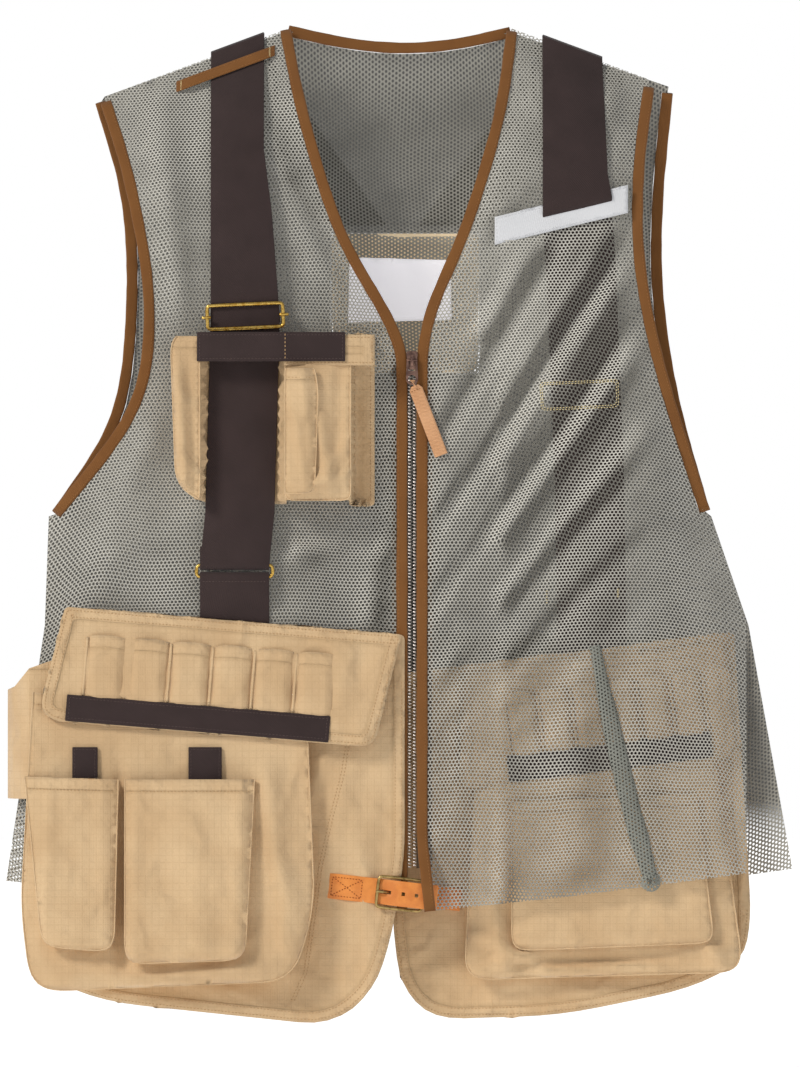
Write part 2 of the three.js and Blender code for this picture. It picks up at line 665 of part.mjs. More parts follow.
// Slide adjuster: brass frame in front of the strap, bar behind it
const adjuster = new THREE.Group();
adjuster.position.set(strapX, 0, adjusterZ);
adjuster.rotation.y = rad(-adjusterTilt);
vest.add(adjuster);
const frameY = strapY - webT / 2 - 0.3 - adjusterWire;
const barR = 1.3;
const barY = strapY + webT / 2 + 0.3 + barR;
const hookX = adjusterW / 2 + barR + 0.4;
const adjusterFrame = wireLoop(adjusterW, adjusterH, 2.5, adjusterWire).translate(0, frameY, 0);
add('adjuster_frame', adjusterFrame, 'brass', adjuster);
const hookEnd = frameY - adjusterWire - 0.3 - barR;
const hooks = [-1, 1].map((s) => join(
  at(rod(barR, barY - hookEnd + barR, 'y'), s * hookX, (barY + hookEnd) / 2, 0),
  at(rod(barR * 0.8, 6, 'x'), s * (hookX - 3), hookEnd, 0),
));
add('adjuster_bar', join(at(rod(barR, 2 * hookX, 'x'), 0, barY, 0), ...hooks), 'brass', adjuster);

// Ring at the strap's end and the tab that hangs the waist panel from it
const ringX = strapX - 8;
const ringY = strapY + hookR;
add('strap_ring', wireLoop(ringW, ringH, 3, ringWire).translate(ringX, ringY, ringZ), 'brass');
const panelBack = plateFront;
const panelFront = panelBack - clothT;
const tabBarZ = ringZ - ringH / 2 + ringWire;
const panelTopZ = (x) => THREE.MathUtils.mapLinear(x, panelTopL[0], panelTopR[0], panelTopL[1], panelTopR[1]);
const tabY = panelBack - clothT / 2 + 0.5; // set back so that the lifted flap's corner clears it
const tabPath = [
  [ringY + hookR, tabBarZ - 10],
  ...turn(ringY, tabBarZ, hookR, 0, 180),
  [ringY - hookR, tabBarZ - 9],
  [tabY, panelTopZ(ringX) + 9],
  [tabY, panelTopZ(ringX) - 6],
];
const underTab = outline([
  [panelTopL[0], panelTopL[1] + 0.4], [panelTopL[0], -500],
  [panelTopR[0], -500], [panelTopR[0], panelTopR[1] + 0.4],
].toReversed());
add('ring_tab', toManifold(strip(tabPath, ringX, webW, webT)).subtract(through(underTab)), 'webbing');

// ---------------------------------------------------------------- chest pouch
const pouchBackY = meshFace - seam;
const underY = pouchBackY - pouchUnder;
const laneL = legL - 8; // the strap's lane down the pouch
const laneR = legR + 4;
const pouchShape = outline([
  [pouchL, pouchTop - 4, 10], [pouchL + 4, pouchBottom + 14, 14], [pouchL + 26, pouchBottom + 2, 6],
  [pouchR, pouchBottom, 3], [pouchR, pouchTop - 3, 3], [pouchL + 20, pouchTop + 1, 6],
]);
const lobes = join(
  box(pouchL, laneL, underY - pouchPuff, pouchBackY, pouchBottom, pouchTop - 4),
  box(laneL - 1, laneR + 1, underY, pouchBackY, pouchBottom, pouchTop - 4),
  box(laneR, pouchR - 18, underY - pouchPuff, pouchBackY, pouchBottom + 4, pouchTop - 4),
  box(pouchR - 19, pouchR, pouchBackY - clothT, pouchBackY, pouchBottom, pouchTop),
).intersect(through(pouchShape));
const hollowBox = (x0, x1, front) => box(
  x0, x1, front + pocketWall, pouchBackY - clothT, pouchBottom + 16, pouchTop + 20,
);
const hollow = join(
  hollowBox(pouchL + pocketWall + 1, laneL - pocketWall, underY - pouchPuff),
  hollowBox(laneL - pocketWall - 1, laneR + pocketWall + 1, underY),
  hollowBox(laneR + pocketWall, pouchR - 18 - pocketWall, underY - pouchPuff),
);
add('pouch_body', lobes.subtract(hollow), 'khaki');
const frontPocketR = -64;
const frontPocketDepth = 7;
const pouchPocketShape = outline([
  [laneR, pouchBottom + 9, 2], [frontPocketR, pouchBottom + 9, 6], [frontPocketR + 3, pouchTop - 44, 8],
  [frontPocketR, pouchTop - 28, 2], [laneR, pouchTop - 28, 2],
]);
const pouchPocketBack = underY - pouchPuff - seam;
const pocketTray = (shape, inner, front, back) => through(shape, front, back)
  .subtract(through(inner, front + pocketWall, back + 5));
add('pouch_front_pocket', pocketTray(
  pouchPocketShape,
  outline([
    [laneR + pocketWall, pouchBottom + 11, 2], [frontPocketR - pocketWall, pouchBottom + 11, 4],
    [frontPocketR - pocketWall, pouchTop, 0], [laneR + pocketWall, pouchTop, 0],
  ]),
  pouchPocketBack - frontPocketDepth, pouchPocketBack,
), 'khaki');

// Keeper band over the strap, on its khaki backing strip, which is also the pouch's short flap
const keeperTop = pouchTop - 1;
const keeperL = -152;
const keeperR = -41;
const across = (path, top, height, thickness) => ribbon(
  path.map(([x, y]) => V3(x, y, top)),
  path.map(([x, y]) => V3(x, y, top - height)),
  thickness,
);
const stripY = underY - pouchPuff - seam - 0.8;
const stripPath = [[laneR - 1, stripY], [-30, stripY], [pouchR, stripY + 3]];
add('pouch_flap_strip', across(stripPath, keeperTop - 2, keeperH + 1, clothT), 'khaki');
const keeperIn = underY - pouchPuff - seam - webT / 2;
const keeperFront = stripY - 0.8 - seam - webT / 2;
const keeperPath = [
  [keeperL, keeperIn], [laneL - 2, keeperIn], [legL, keeperFront], [laneR, keeperFront], [keeperR, keeperFront],
];
add('pouch_keeper', across(keeperPath, keeperTop, keeperH, webT), 'webbing');

// ---------------------------------------------------------------- wearer's-right waist panel
const panelRightShape = outline([
  [...panelTopL, 4], [-279, -540, 30], [-284, -640, 40], [-266, -694, 30], [-222, -712, 30],
  [-52, panelBottom, 24],
  [-19, -703, 20], [-6, -662, 20], [3.5, -602, 20], [...panelTopR, 4],
]);
add('panel_right', plate(panelRightShape, panelFront, panelBack), 'khaki');

/** Open-topped bellows pocket on a face: corners [x, z] clockwise from the top left, in depth by height. */
function pocket(corners, radius, front, back) {
  const w = pocketWall;
  const middle = (corners[0][0] + corners[1][0]) / 2;
  const floor = Math.min(...corners.map((c) => c[1])) + 20;
  const rounded = ([x, z], i) => [x, z, i > 1 ? radius : 0];
  const inset = ([x, z], i) => {
    const up = i < 2 ? 20 : w * (z < floor ? 1 : 0);
    return [x + w * Math.sign(middle - x), z + up, i > 1 ? radius : 0];
  };
  const outer = outline(corners.map(rounded).toReversed());
  const inner = outline(corners.map(inset).toReversed());
  const xs = corners.map((c) => c[0]);
  const zs = corners.map((c) => c[1]);
  const cols = [Math.min(...xs) - 1, Math.max(...xs) + 1];
  const rws = [Math.max(...zs) + 25, Math.min(...zs) - 1];
  const keep = (s) => s;
  return sheet(outer, cols, rws, keep, front, back)
    .subtract(sheet(inner, cols, rws, keep, (x, z) => front(x, z) + w, (x, z) => back(x, z) + 2));
}

const ramp = (y0, z0, y1, z1) => (x, z) => THREE.MathUtils.mapLinear(z, z0, z1, y0, y1);
const bigMouth = -480;
const bigFace = ramp(panelFront - 8.4, bigMouth, panelFront - 23, -700);
const bigBack = () => panelFront - seam;
const bigCorners = [
  [-275, bigMouth], [-70, bigMouth - 14], [-64, -640], [-80, -696], [-276, -704], [-284, -640],
];
add('pocket_big_right', pocket(bigCorners, 22, bigFace, bigBack), 'khaki');

const smallFace = (x, z) => bigFace(x, z) - THREE.MathUtils.mapLinear(z, -541, -680, 9, 15);
const smallBack = (x, z) => bigFace(x, z) - seam;
const smallPockets = [
  ['pocket_small_right_outer', [[-281, -543], [-211, -545], [-214, -674], [-268, -670]]],
  ['pocket_small_right_inner', [[-206, -545], [-109, -545], [-116, -680], [-206, -683]]],
];
smallPockets.forEach(([name, corners]) => add(name, pocket(corners, 12, smallFace, smallBack), 'khaki'));

const pullTabs = [['pull_tab_right_outer', -236, 19], ['pull_tab_right_inner', -146, 25]];
pullTabs.forEach(([name, x, width]) => {
  const tab = [[0, -521], [0, -552]].map(([, z]) => [bigFace(x, z) - seam - webT / 2, z]);
  add(name, strip(tab, x, width, webT), 'webbing');
});

// Flap, hinged along the panel's top edge, with tool loops and a webbing band across it
const flapRun = Math.hypot(panelTopR[0] - 2 - panelTopL[0], panelTopR[1] - panelTopL[1]);
const flapAngle = Math.atan2(panelTopL[1] - panelTopR[1], panelTopR[0] - panelTopL[0]);

function flapGroup(origin, angle, tilt) {
  const group = new THREE.Group();
  group.position.set(...origin);
  group.rotation.order = 'YXZ';
  group.rotation.y = angle;
  group.rotation.x = -rad(tilt);
  vest.add(group);
  return group;
}

/** Row of arched tool loops, each open above and below, standing on a flap's front face. */
function toolLoops(x0, top, face, pitch) {
  const shape = new THREE.Shape();
  const foot = loopFoot / 2;
  const span = pitch - loopFoot;
  const upper = [];
  const lower = [];
  const put = (list, x, y) => list.push(new THREE.Vector2(x, y));
  for (let i = 0; i < loopCount; i++) {
    const from = x0 + i * pitch;
    put(upper, from, loopT);
    put(lower, from, 0);
    [[0, 0], [0.1, 0.78], [0.3, 1], [0.7, 1], [0.9, 0.78], [1, 0]].forEach(([share, rise]) => {
      const grow = loopT * (share < 0.5 ? -1 : 1);
      put(upper, from + foot + share * span + (rise < 0.9 ? grow : 0), loopT + rise * loopRise);
      put(lower, from + foot + share * span, rise * loopRise);
    });
  }
  put(upper, x0 + loopCount * pitch, loopT);
  put(lower, x0 + loopCount * pitch, 0);
  [...upper, ...lower.toReversed()].forEach((p, i) => (i ? shape.lineTo(p.x, p.y) : shape.moveTo(p.x, p.y)));
  const geometry = new THREE.ExtrudeGeometry(shape, { depth: loopH, bevelEnabled: false });
  return toManifold(geometry.scale(1, -1, -1).translate(0, face, top));
}

const flapRight = flapGroup([panelTopL[0], panelFront - 0.6, panelTopL[1]], flapAngle, flapTilt);
add('flap_right', plate(outline([
  [0, 0, 3], [-13, 6 - flapH, 14], [2, -flapH, 4], [flapRun - 14, -flapH, 12], [flapRun, 0, 3],
]), -clothT, 0), 'khaki', flapRight);
const loopTop = -20;
const onFlap = -clothT - seam; // inner face of what is sewn to a flap
add('tool_loops_right', toolLoops(18, loopTop, onFlap, loopPitch), 'khaki', flapRight);
const bandTop = loopTop - loopH - seam;
add('flap_band_right', box(7, 205, onFlap - webT, onFlap, bandTop - bandH, bandTop), 'webbing', flapRight);

// Side wing that carries the panel round to the back, with a pocket mouth at its top
const wingX = -hemHalf + 1;
const wingT = clothT;
const wingTop = -462;
const wingBottom = -560;
const wingPath = [
  [-255, panelBack + 1.1], [-278, -38], [-289, -24], [wingX, 0],
  [-290, 26], [-268, 41], [-238, bodyDepth + 4.2],
];
const wing = ribbon(
  wingPath.map(([x, y], i) => V3(x, y, wingTop - [-8, 0, 14, 16, 14, 8, 0][i])),
  wingPath.map(([x, y]) => V3(x, y, wingBottom)),
  wingT,
);
add('side_wing_right', wing, 'khaki');

// ---------------------------------------------------------------- wearer's-left waist panel, inside the mesh
const panelLeftShape = outline([
  [...leftPanelTopL, 4], [-6, -650, 20], [0, -700, 20], [24, panelBottom + 4, 24], [120, panelBottom + 7, 30],
  [218, -703, 30], [258, -682, 20], [264, -650, 20], [...leftPanelTopR, 4],
]);
add('panel_left', plate(panelLeftShape, leftPanelY, leftPanelY + clothT), 'khaki');
const leftMouth = -528;
const leftFace = ramp(leftPanelY - 6.8, leftMouth, leftPanelY - 14, -690);
add('pocket_big_left', pocket(
  [[58, leftMouth], [236, leftMouth], [258, -690], [48, -696]], 18, leftFace, () => leftPanelY - seam,
), 'khaki');
const leftSmallFace = (x, z) => leftFace(x, z) - THREE.MathUtils.mapLinear(z, -560, -670, 8.5, 10);
add('pocket_small_left', pocket(
  [[84, -562], [222, -556], [236, -668], [84, -674]], 10, leftSmallFace, (x, z) => leftFace(x, z) - seam,
), 'khaki');
const flapLeftAngle = Math.atan2(leftPanelTopL[1] - leftPanelTopR[1], leftPanelTopR[0] - leftPanelTopL[0]);
const flapLeftX = 46;
const flapLeft = flapGroup([flapLeftX, leftPanelY - 0.6, panelEdgeZ(flapLeftX) - 6], flapLeftAngle, 6.6);
const flapLeftShape = outline([[0, 0, 3], [-12, -flapH, 12], [200, -flapH, 12], [200, 0, 3]]);
add('flap_left', plate(flapLeftShape, -clothT, 0), 'khaki', flapLeft);
add('tool_loops_left', toolLoops(28, loopTop, onFlap, loopPitchLeft), 'khaki', flapLeft);
add('flap_band_left', box(26, 180, onFlap - webT, onFlap, bandTop - bandH, bandTop), 'webbing', flapLeft);

// ---------------------------------------------------------------- leather strap and buckle
const fastening = new THREE.Group();
fastening.position.set(0, 0, buckleZ);
fastening.rotation.y = rad(buckleTilt);
vest.add(fastening);
const leatherBase = panelFront - 0.3 - leatherT / 2;
const bucklePlane = leatherBase - leatherT / 2 - 0.3 - buckleWire;
const leatherTop = bucklePlane - buckleWire - 0.3 - leatherT / 2;
const barX = buckleW / 2 - buckleWire;
const leatherPath = [
  [-54, leatherBase], [-26, leatherBase], [-barX - 3, leatherBase], [-barX + 3, leatherBase - 0.5],
  [-4, leatherTop + 1.2], [8, leatherTop], [28, leatherTop],
];
const holeXs = [-11, 2.5, 12.5];
const leatherHoles = holeXs.map((x, i) => box(x - (i ? 1.3 : 4.2), x + (i ? 1.3 : 4.2), -80, -30, -1.3, 1.3));
add('leather_strap', leatherHoles.reduce(
  (left, hole) => left.subtract(hole),
  toManifold(across(leatherPath, leatherW / 2, leatherW, leatherT)),
), 'leather', fastening);
const buckleLoop = wireLoop(buckleW, buckleH, 3, buckleWire).translate(0, bucklePlane, 0);
add('buckle_frame', buckleLoop, 'antique', fastening);
const prongR = 0.8;
const prongBack = bucklePlane + buckleWire + 0.3 + prongR;
const prongFront = bucklePlane - buckleWire - 0.3 - prongR;
const prongPath = [
  [barX + buckleWire + 0.3 + prongR, bucklePlane], [barX + 1, prongBack],
  [barX - 4, prongBack], [-7.6, prongBack],
  [-13.2, prongFront], [-barX - 1.2, prongFront],
];
add('buckle_prong', across(prongPath, prongR, 2 * prongR, 2 * prongR), 'antique', fastening);
// The chape folds round the buckle's bar and runs back to the wearer's-left panel
const chapeT = 2;
const chapeR = buckleWire + 0.3 + chapeT / 2;
const chapeEnd = leftPanelY - 0.4 - chapeT / 2;
const chapePath = [
  [barX - 0.6, bucklePlane + chapeR], [barX + 1, bucklePlane + chapeR], [barX + 8, bucklePlane + 10],
  [barX + 13, leftPanelY - 6], [barX + 20, chapeEnd], [barX + 29, chapeEnd],
];
add('buckle_chape', toManifold(across(chapePath, leatherW / 2 - 1, leatherW - 2, chapeT))
  .subtract(box(barX - 6, barX + 5, -80, -30, -1.6, 1.6)), 'leather', fastening);

// ---------------------------------------------------------------- the back
const backFace = bodyDepth + seam / 2 + meshT;
const patchIn = backFace + seam;
add('back_patch', plate(outline([
  [-52, patchTop - 24, 4], [-50, -240, 8], [58, -240, 8], [60, patchTop - 24, 4],
]), patchIn, patchIn + clothT), 'khaki');
const labelShape = outline([[-39, -202], [39, -200], [38, -155], [-38, -153]]);
add('care_label', plate(labelShape, bodyDepth - seam - 0.5, bodyDepth + seam / 2 - seam), 'label');
const strapBackPath = [[patchIn + webT / 2, -240.4], [patchIn + webT / 2, -436.6]];
add('strap_back', strip(strapBackPath, 4, webW, webT), 'webbing');
add('rear_panel', plate(outline([
  [-236, -437, 6], [-236, -620, 30], [236, -620, 30], [236, -437, 6],
]), patchIn, patchIn + clothT), 'khaki');

export default vest;
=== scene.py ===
# %% [markdown]
# This lesson dresses an angler's vest that was first drawn as CAD solids.
# The real vest is an open sport-mesh waistcoat with brown cloth bindings, worn over dark webbing
# straps that carry khaki ripstop panels, bellows pockets, tool loops and a chest pouch.
# Every cloth piece is cut from the border of its CAD solid, so that it lands in the right place,
# and is then given folds, hems, thickness and stitches.

# %% Load the frame
import json
import math

import bmesh
import bpy
from mathutils import Matrix, Vector, kdtree, noise
from mathutils.bvhtree import BVHTree
from mathutils.geometry import delaunay_2d_cdt


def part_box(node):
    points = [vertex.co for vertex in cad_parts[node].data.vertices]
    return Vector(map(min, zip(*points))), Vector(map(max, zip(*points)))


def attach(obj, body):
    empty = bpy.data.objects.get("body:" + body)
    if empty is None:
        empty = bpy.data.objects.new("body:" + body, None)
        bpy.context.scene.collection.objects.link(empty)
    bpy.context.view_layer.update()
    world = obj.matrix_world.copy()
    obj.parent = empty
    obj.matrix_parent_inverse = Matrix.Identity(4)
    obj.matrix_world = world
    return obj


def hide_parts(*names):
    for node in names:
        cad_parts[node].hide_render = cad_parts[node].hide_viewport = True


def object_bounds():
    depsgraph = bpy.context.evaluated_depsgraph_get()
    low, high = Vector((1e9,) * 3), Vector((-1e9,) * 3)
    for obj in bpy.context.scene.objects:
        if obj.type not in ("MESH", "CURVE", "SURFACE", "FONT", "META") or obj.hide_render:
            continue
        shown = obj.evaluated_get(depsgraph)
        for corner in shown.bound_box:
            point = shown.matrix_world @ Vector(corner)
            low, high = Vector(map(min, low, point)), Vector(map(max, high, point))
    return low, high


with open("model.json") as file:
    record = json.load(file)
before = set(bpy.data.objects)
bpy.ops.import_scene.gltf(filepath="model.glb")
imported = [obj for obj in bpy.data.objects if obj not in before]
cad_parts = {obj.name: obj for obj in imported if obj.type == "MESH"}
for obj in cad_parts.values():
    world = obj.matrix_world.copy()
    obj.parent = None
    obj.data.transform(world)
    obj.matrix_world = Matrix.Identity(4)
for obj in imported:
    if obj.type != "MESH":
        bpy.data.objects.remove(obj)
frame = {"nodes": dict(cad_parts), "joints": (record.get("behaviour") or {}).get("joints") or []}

MM = 0.001
cad_box = [list(corner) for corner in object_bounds()]
print("CAD box", [[round(v, 4) for v in corner] for corner in cad_box])

# %% [markdown]
# The vest is seen square on, from far away with a long lens, so that near parts look no larger.
# The camera looks straight along +Y, level with the middle of the vest.

# %% Camera
VIEW_HEIGHT = 0.8  # what the view's tall side takes in at the vest's front, in metres
LENS = 800
SENSOR = 36
FRONT_PLANE = -0.045
VIEW_DROP = 0.0075  # the view's middle lies this far below the vest's
camera_data = bpy.data.cameras.new("camera")
camera_data.lens = LENS
camera_data.sensor_width = SENSOR
camera = bpy.data.objects.new("camera", camera_data)
bpy.context.scene.collection.objects.link(camera)
middle_z = (cad_box[0][2] + cad_box[1][2]) / 2 - VIEW_DROP
camera.location = (0, FRONT_PLANE - VIEW_HEIGHT * LENS / SENSOR, middle_z)
camera.rotation_euler = (math.pi / 2, 0, 0)
bpy.context.scene.camera = camera
print("camera", [round(v, 3) for v in camera.location])

# %% [markdown]
# A pale studio: a wide floor under the vest, an even pale surround and one broad soft sun
# from the upper left. The surround is a little dimmer for lighting than it looks to the eye,
# so that the folds keep their shading.

# %% Studio
def srgb(code):
    """An sRGB hex colour as the linear numbers that a shader wants."""
    parts = [int(code[i:i + 2], 16) / 255 for i in (1, 3, 5)]
    return [c / 12.92 if c <= 0.04045 else ((c + 0.055) / 1.055) ** 2.4 for c in parts] + [1.0]


def node(tree, kind, inputs=None, **settings):
    """Adds a node; an input is a plain value or another node's socket, and settings are its options."""
    made = tree.nodes.new(kind)
    for key, value in settings.items():
        setattr(made, key, value)
    for key, value in (inputs or {}).items():
        if isinstance(value, bpy.types.NodeSocket):
            tree.links.new(value, made.inputs[key])
        else:
            made.inputs[key].default_value = value
    return made


scene = bpy.context.scene
scene.view_settings.view_transform = "Standard"
world = bpy.data.worlds.new("studio")
scene.world = world
world.use_nodes = True
sky = world.node_tree
sky.nodes.clear()
path = node(sky, "ShaderNodeLightPath")
glow = node(sky, "ShaderNodeBackground", {"Color": srgb("#F6F8FC"), "Strength": 0.37})
seen = node(sky, "ShaderNodeBackground", {"Color": srgb("#FFFFFF"), "Strength": 1.0})
both = node(sky, "ShaderNodeMixShader", {
    0: path.outputs["Is Camera Ray"], 1: glow.outputs[0], 2: seen.outputs[0]})
node(sky, "ShaderNodeOutputWorld", {"Surface": both.outputs[0]})


def sun(name, towards, strength, spread, colour):
    data = bpy.data.lights.new(name, "SUN")
    data.energy = strength
    data.angle = math.radians(spread)
    data.color = srgb(colour)[:3]
    lamp = bpy.data.objects.new(name, data)
    lamp.rotation_euler = Vector(towards).to_track_quat("Z", "Y").to_euler()
    scene.collection.objects.link(lamp)


sun("key", (-0.66, -0.6, 0.62), 1.8, 14, "#FFFBF4")
sun("fill", (0.5, -0.8, 0.1), 0.2, 60, "#F4F7FF")
sun("back", (0.2, 0.9, 0.5), 0.5, 60, "#FFFFFF")

# %% [markdown]
# Two numbers keep the floor as white as the surround away from the vest: its own pale colour
# and a touch of glow.

# %% Floor
FLOOR_DROP = 0.045
FLOOR_SIDE, FLOOR_NEAR, FLOOR_FAR = 9, -9, 14
floor_z = cad_box[0][2] - FLOOR_DROP
floor_mesh = bpy.data.meshes.new("floor")
floor_mesh.from_pydata([(x, y, floor_z) for x, y in (
    (-FLOOR_SIDE, FLOOR_NEAR), (FLOOR_SIDE, FLOOR_NEAR),
    (FLOOR_SIDE, FLOOR_FAR), (-FLOOR_SIDE, FLOOR_FAR))], [], [(0, 1, 2, 3)])
floor = bpy.data.objects.new("floor", floor_mesh)
scene.collection.objects.link(floor)
pale = bpy.data.materials.new("studio_floor")
pale.use_nodes = True
pale.node_tree.nodes.clear()
speck = node(pale.node_tree, "ShaderNodeTexNoise", {"Scale": 3.0})
tone = node(pale.node_tree, "ShaderNodeMix", {
    0: speck.outputs[0], 6: srgb("#F4F4F3"), 7: srgb("#F7F7F6")}, data_type="RGBA")
plain = node(pale.node_tree, "ShaderNodeBsdfPrincipled", {
    "Base Color": tone.outputs[2], "Roughness": 0.9,
    "Emission Color": srgb("#FFFFFF"), "Emission Strength": 0.48})
node(pale.node_tree, "ShaderNodeOutputMaterial", {"Surface": plain.outputs[0]})
floor_mesh.materials.append(pale)
print("floor at", round(floor_z, 4))

# %% [markdown]
# Every finish is made from nodes. The surface point in millimetres drives the weaves, so a
# thread spacing can be typed as a real size. Two sines give a plain weave, a slanted sine gives
# twill, and an added grid gives ripstop. Threads finer than the render can show are drawn coarser.

# %% Shader helpers
def start_material(name):
    made = bpy.data.materials.new(name)
    made.use_nodes = True
    tree = made.node_tree
    tree.nodes.clear()
    where = node(tree, "ShaderNodeTexCoord").outputs["Object"]
    point = node(tree, "ShaderNodeVectorMath", {0: where, "Scale": 1000.0}, operation="SCALE").outputs[0]
    return made, tree, point


def maths(tree, operation, a, b=0.0, c=0.0):
    return node(tree, "ShaderNodeMath", {0: a, 1: b, 2: c}, operation=operation).outputs[0]


def times(tree, a, b):
    return maths(tree, "MULTIPLY", a, b)


def plus(tree, a, b):
    return maths(tree, "ADD", a, b)


def vector_maths(tree, operation, *values):
    return node(tree, "ShaderNodeVectorMath", dict(enumerate(values)), operation=operation).outputs[0]


def blotches(tree, point, size, detail=2.0):
    """Noise whose patches are about size millimetres across."""
    return node(tree, "ShaderNodeTexNoise", {"Vector": point, "Scale": 1 / size, "Detail": detail}).outputs[0]


def mix_colour(tree, share, a, b):
    return node(tree, "ShaderNodeMix", {0: share, 6: a, 7: b}, data_type="RGBA").outputs[2]


def wave(tree, value, pitch):
    """A sine from 0 to 1 that repeats every pitch millimetres."""
    turn = times(tree, value, 2 * math.pi / pitch)
    return maths(tree, "MULTIPLY_ADD", maths(tree, "SINE", turn), 0.5, 0.5)


def split(tree, point):
    return node(tree, "ShaderNodeSeparateXYZ", {0: point}).outputs


def bump(tree, height, distance, strength):
    return node(tree, "ShaderNodeBump", {
        "Height": height, "Distance": distance, "Strength": strength}).outputs[0]


def spread(tree, value, low, high, to_low=0.0, to_high=1.0):
    return node(tree, "ShaderNodeMapRange", {
        0: value, 1: low, 2: high, 3: to_low, 4: to_high}, interpolation_type="SMOOTHSTEP").outputs[0]


def between(tree, value, low, high):
    """1 from low to high, fading over a millimetre to either side of both."""
    return times(tree, spread(tree, value, low - 1, low + 1),
                 spread(tree, value, high - 1, high + 1, 1.0, 0.0))


def end_material(made, tree, colour, normal, settings):
    """Closes a material with a Principled shader; plain numbers sit on its own sockets."""
    inputs = {"Base Color": colour, **settings}
    if normal is not None:
        inputs["Normal"] = normal
    shader = node(tree, "ShaderNodeBsdfPrincipled", inputs)
    node(tree, "ShaderNodeOutputMaterial", {"Surface": shader.outputs[0]})
    return made


# %% [markdown]
# Ripstop cotton: a plain weave with a thicker thread every 5 mm. It is matt, it creases, and
# its washed hems are paler on top and darker along the stitching. The stored distance to the
# cloth's border, "edge", draws the turned hem as a step and its puckers as small waves.

# %% Ripstop cotton
WEAVE = 1.3  # the real threads are 0.4 mm apart, too fine to show
RIPSTOP = 5.2
HEM = 9.0


def ripstop_cloth(name, light, dark, glow=0.0):
    made, tree, point = start_material(name)
    x, _, z = split(tree, point)
    weave = plus(tree, wave(tree, x, WEAVE), wave(tree, z, WEAVE))
    grid = maths(tree, "MAXIMUM", maths(tree, "POWER", wave(tree, x, RIPSTOP), 24.0),
                 maths(tree, "POWER", wave(tree, z, RIPSTOP), 24.0))
    edge = node(tree, "ShaderNodeAttribute", attribute_name="edge").outputs["Fac"]
    edge = times(tree, edge, 1000.0)
    hem = spread(tree, edge, HEM - 0.9, HEM + 0.3, 1.0, 0.0)
    seam_line = maths(tree, "SUBTRACT", spread(tree, edge, HEM - 2.2, HEM),
                      spread(tree, edge, HEM, HEM + 3.0))
    washed = blotches(tree, point, 45.0, 3.0)
    thread = blotches(tree, point, 1.1, 1.0)
    crumple = blotches(tree, point, 14.0, 3.0)
    bent = maths(tree, "ABSOLUTE", maths(tree, "SUBTRACT", blotches(tree, point, 46.0, 2.0), 0.5))
    pressed = spread(tree, bent, 0.0, 0.14, 1.0, 0.0)
    base = mix_colour(tree, spread(tree, washed, 0.3, 0.7), srgb(light), srgb(dark))
    fibre = mix_colour(tree, times(tree, thread, 0.22), base, srgb("#A98A62"))
    barred = mix_colour(tree, times(tree, grid, 0.16), fibre, srgb("#B7976C"))
    sewn = mix_colour(tree, times(tree, seam_line, 0.3), barred, srgb("#A88A63"))
    worn = mix_colour(tree, spread(tree, edge, 0.0, 1.6, 0.18, 0.0), sewn, srgb("#E0C69F"))
    pucker = times(tree, blotches(tree, point, 5.0, 1.0), spread(tree, edge, 4.0, 20.0, 1.0, 0.0))
    fine = maths(tree, "MULTIPLY_ADD", weave, 0.06, times(tree, grid, 0.12))
    height = plus(tree, plus(tree, fine, times(tree, hem, 0.8)),
                  plus(tree, times(tree, crumple, 1.6), times(tree, pucker, 1.5)))
    height = maths(tree, "MULTIPLY_ADD", pressed, 1.6, height)
    return end_material(made, tree, worn, bump(tree, height, MM, 0.8), {
        "Roughness": 0.85, "Sheen Weight": 0.12, "Specular IOR Level": 0.25,
        "Emission Color": srgb(light), "Emission Strength": glow})


khaki = ripstop_cloth("ripstop_cotton", "#D8BA92", "#CBAB83")
# Light bounces in through the mesh, so what lies behind it glows a little.
khaki_lit = ripstop_cloth("ripstop_cotton_lit_through_mesh", "#E2CDAB", "#D6BF9C", 0.3)
# painted shade: a darker copy of the ripstop for the pouch's back and the lane under its strap, which lie in
# shade
khaki_shaded = ripstop_cloth("ripstop_cotton_shaded", "#D0B28C", "#C2A47E")
print("ripstop weave", WEAVE, "mm, grid", RIPSTOP, "mm")

# %% [markdown]
# Sport mesh: warp-knit polyester with round holes in a staggered lattice, 2.8 mm apart.
# Real holes would cost millions of faces, so the sheet is one layer and the holes are drawn as
# transparent dots. The lattice is two square-cornered grids, the second moved by half a cell.
# The back sheet looks like two layers, so its holes are lined with painted shade, a dark colour for its
# shaded second layer, but for the window where the patch shows through. A stored number, "tone", paints light
# and shade on the folds of the drape.

# %% Sport mesh
HOLE_PITCH = 2.8
HOLE_R = 0.97
SHADED_LINING_ABOVE = (-590, -560)  # the lining of painted shade fades in between these heights, in millimetres
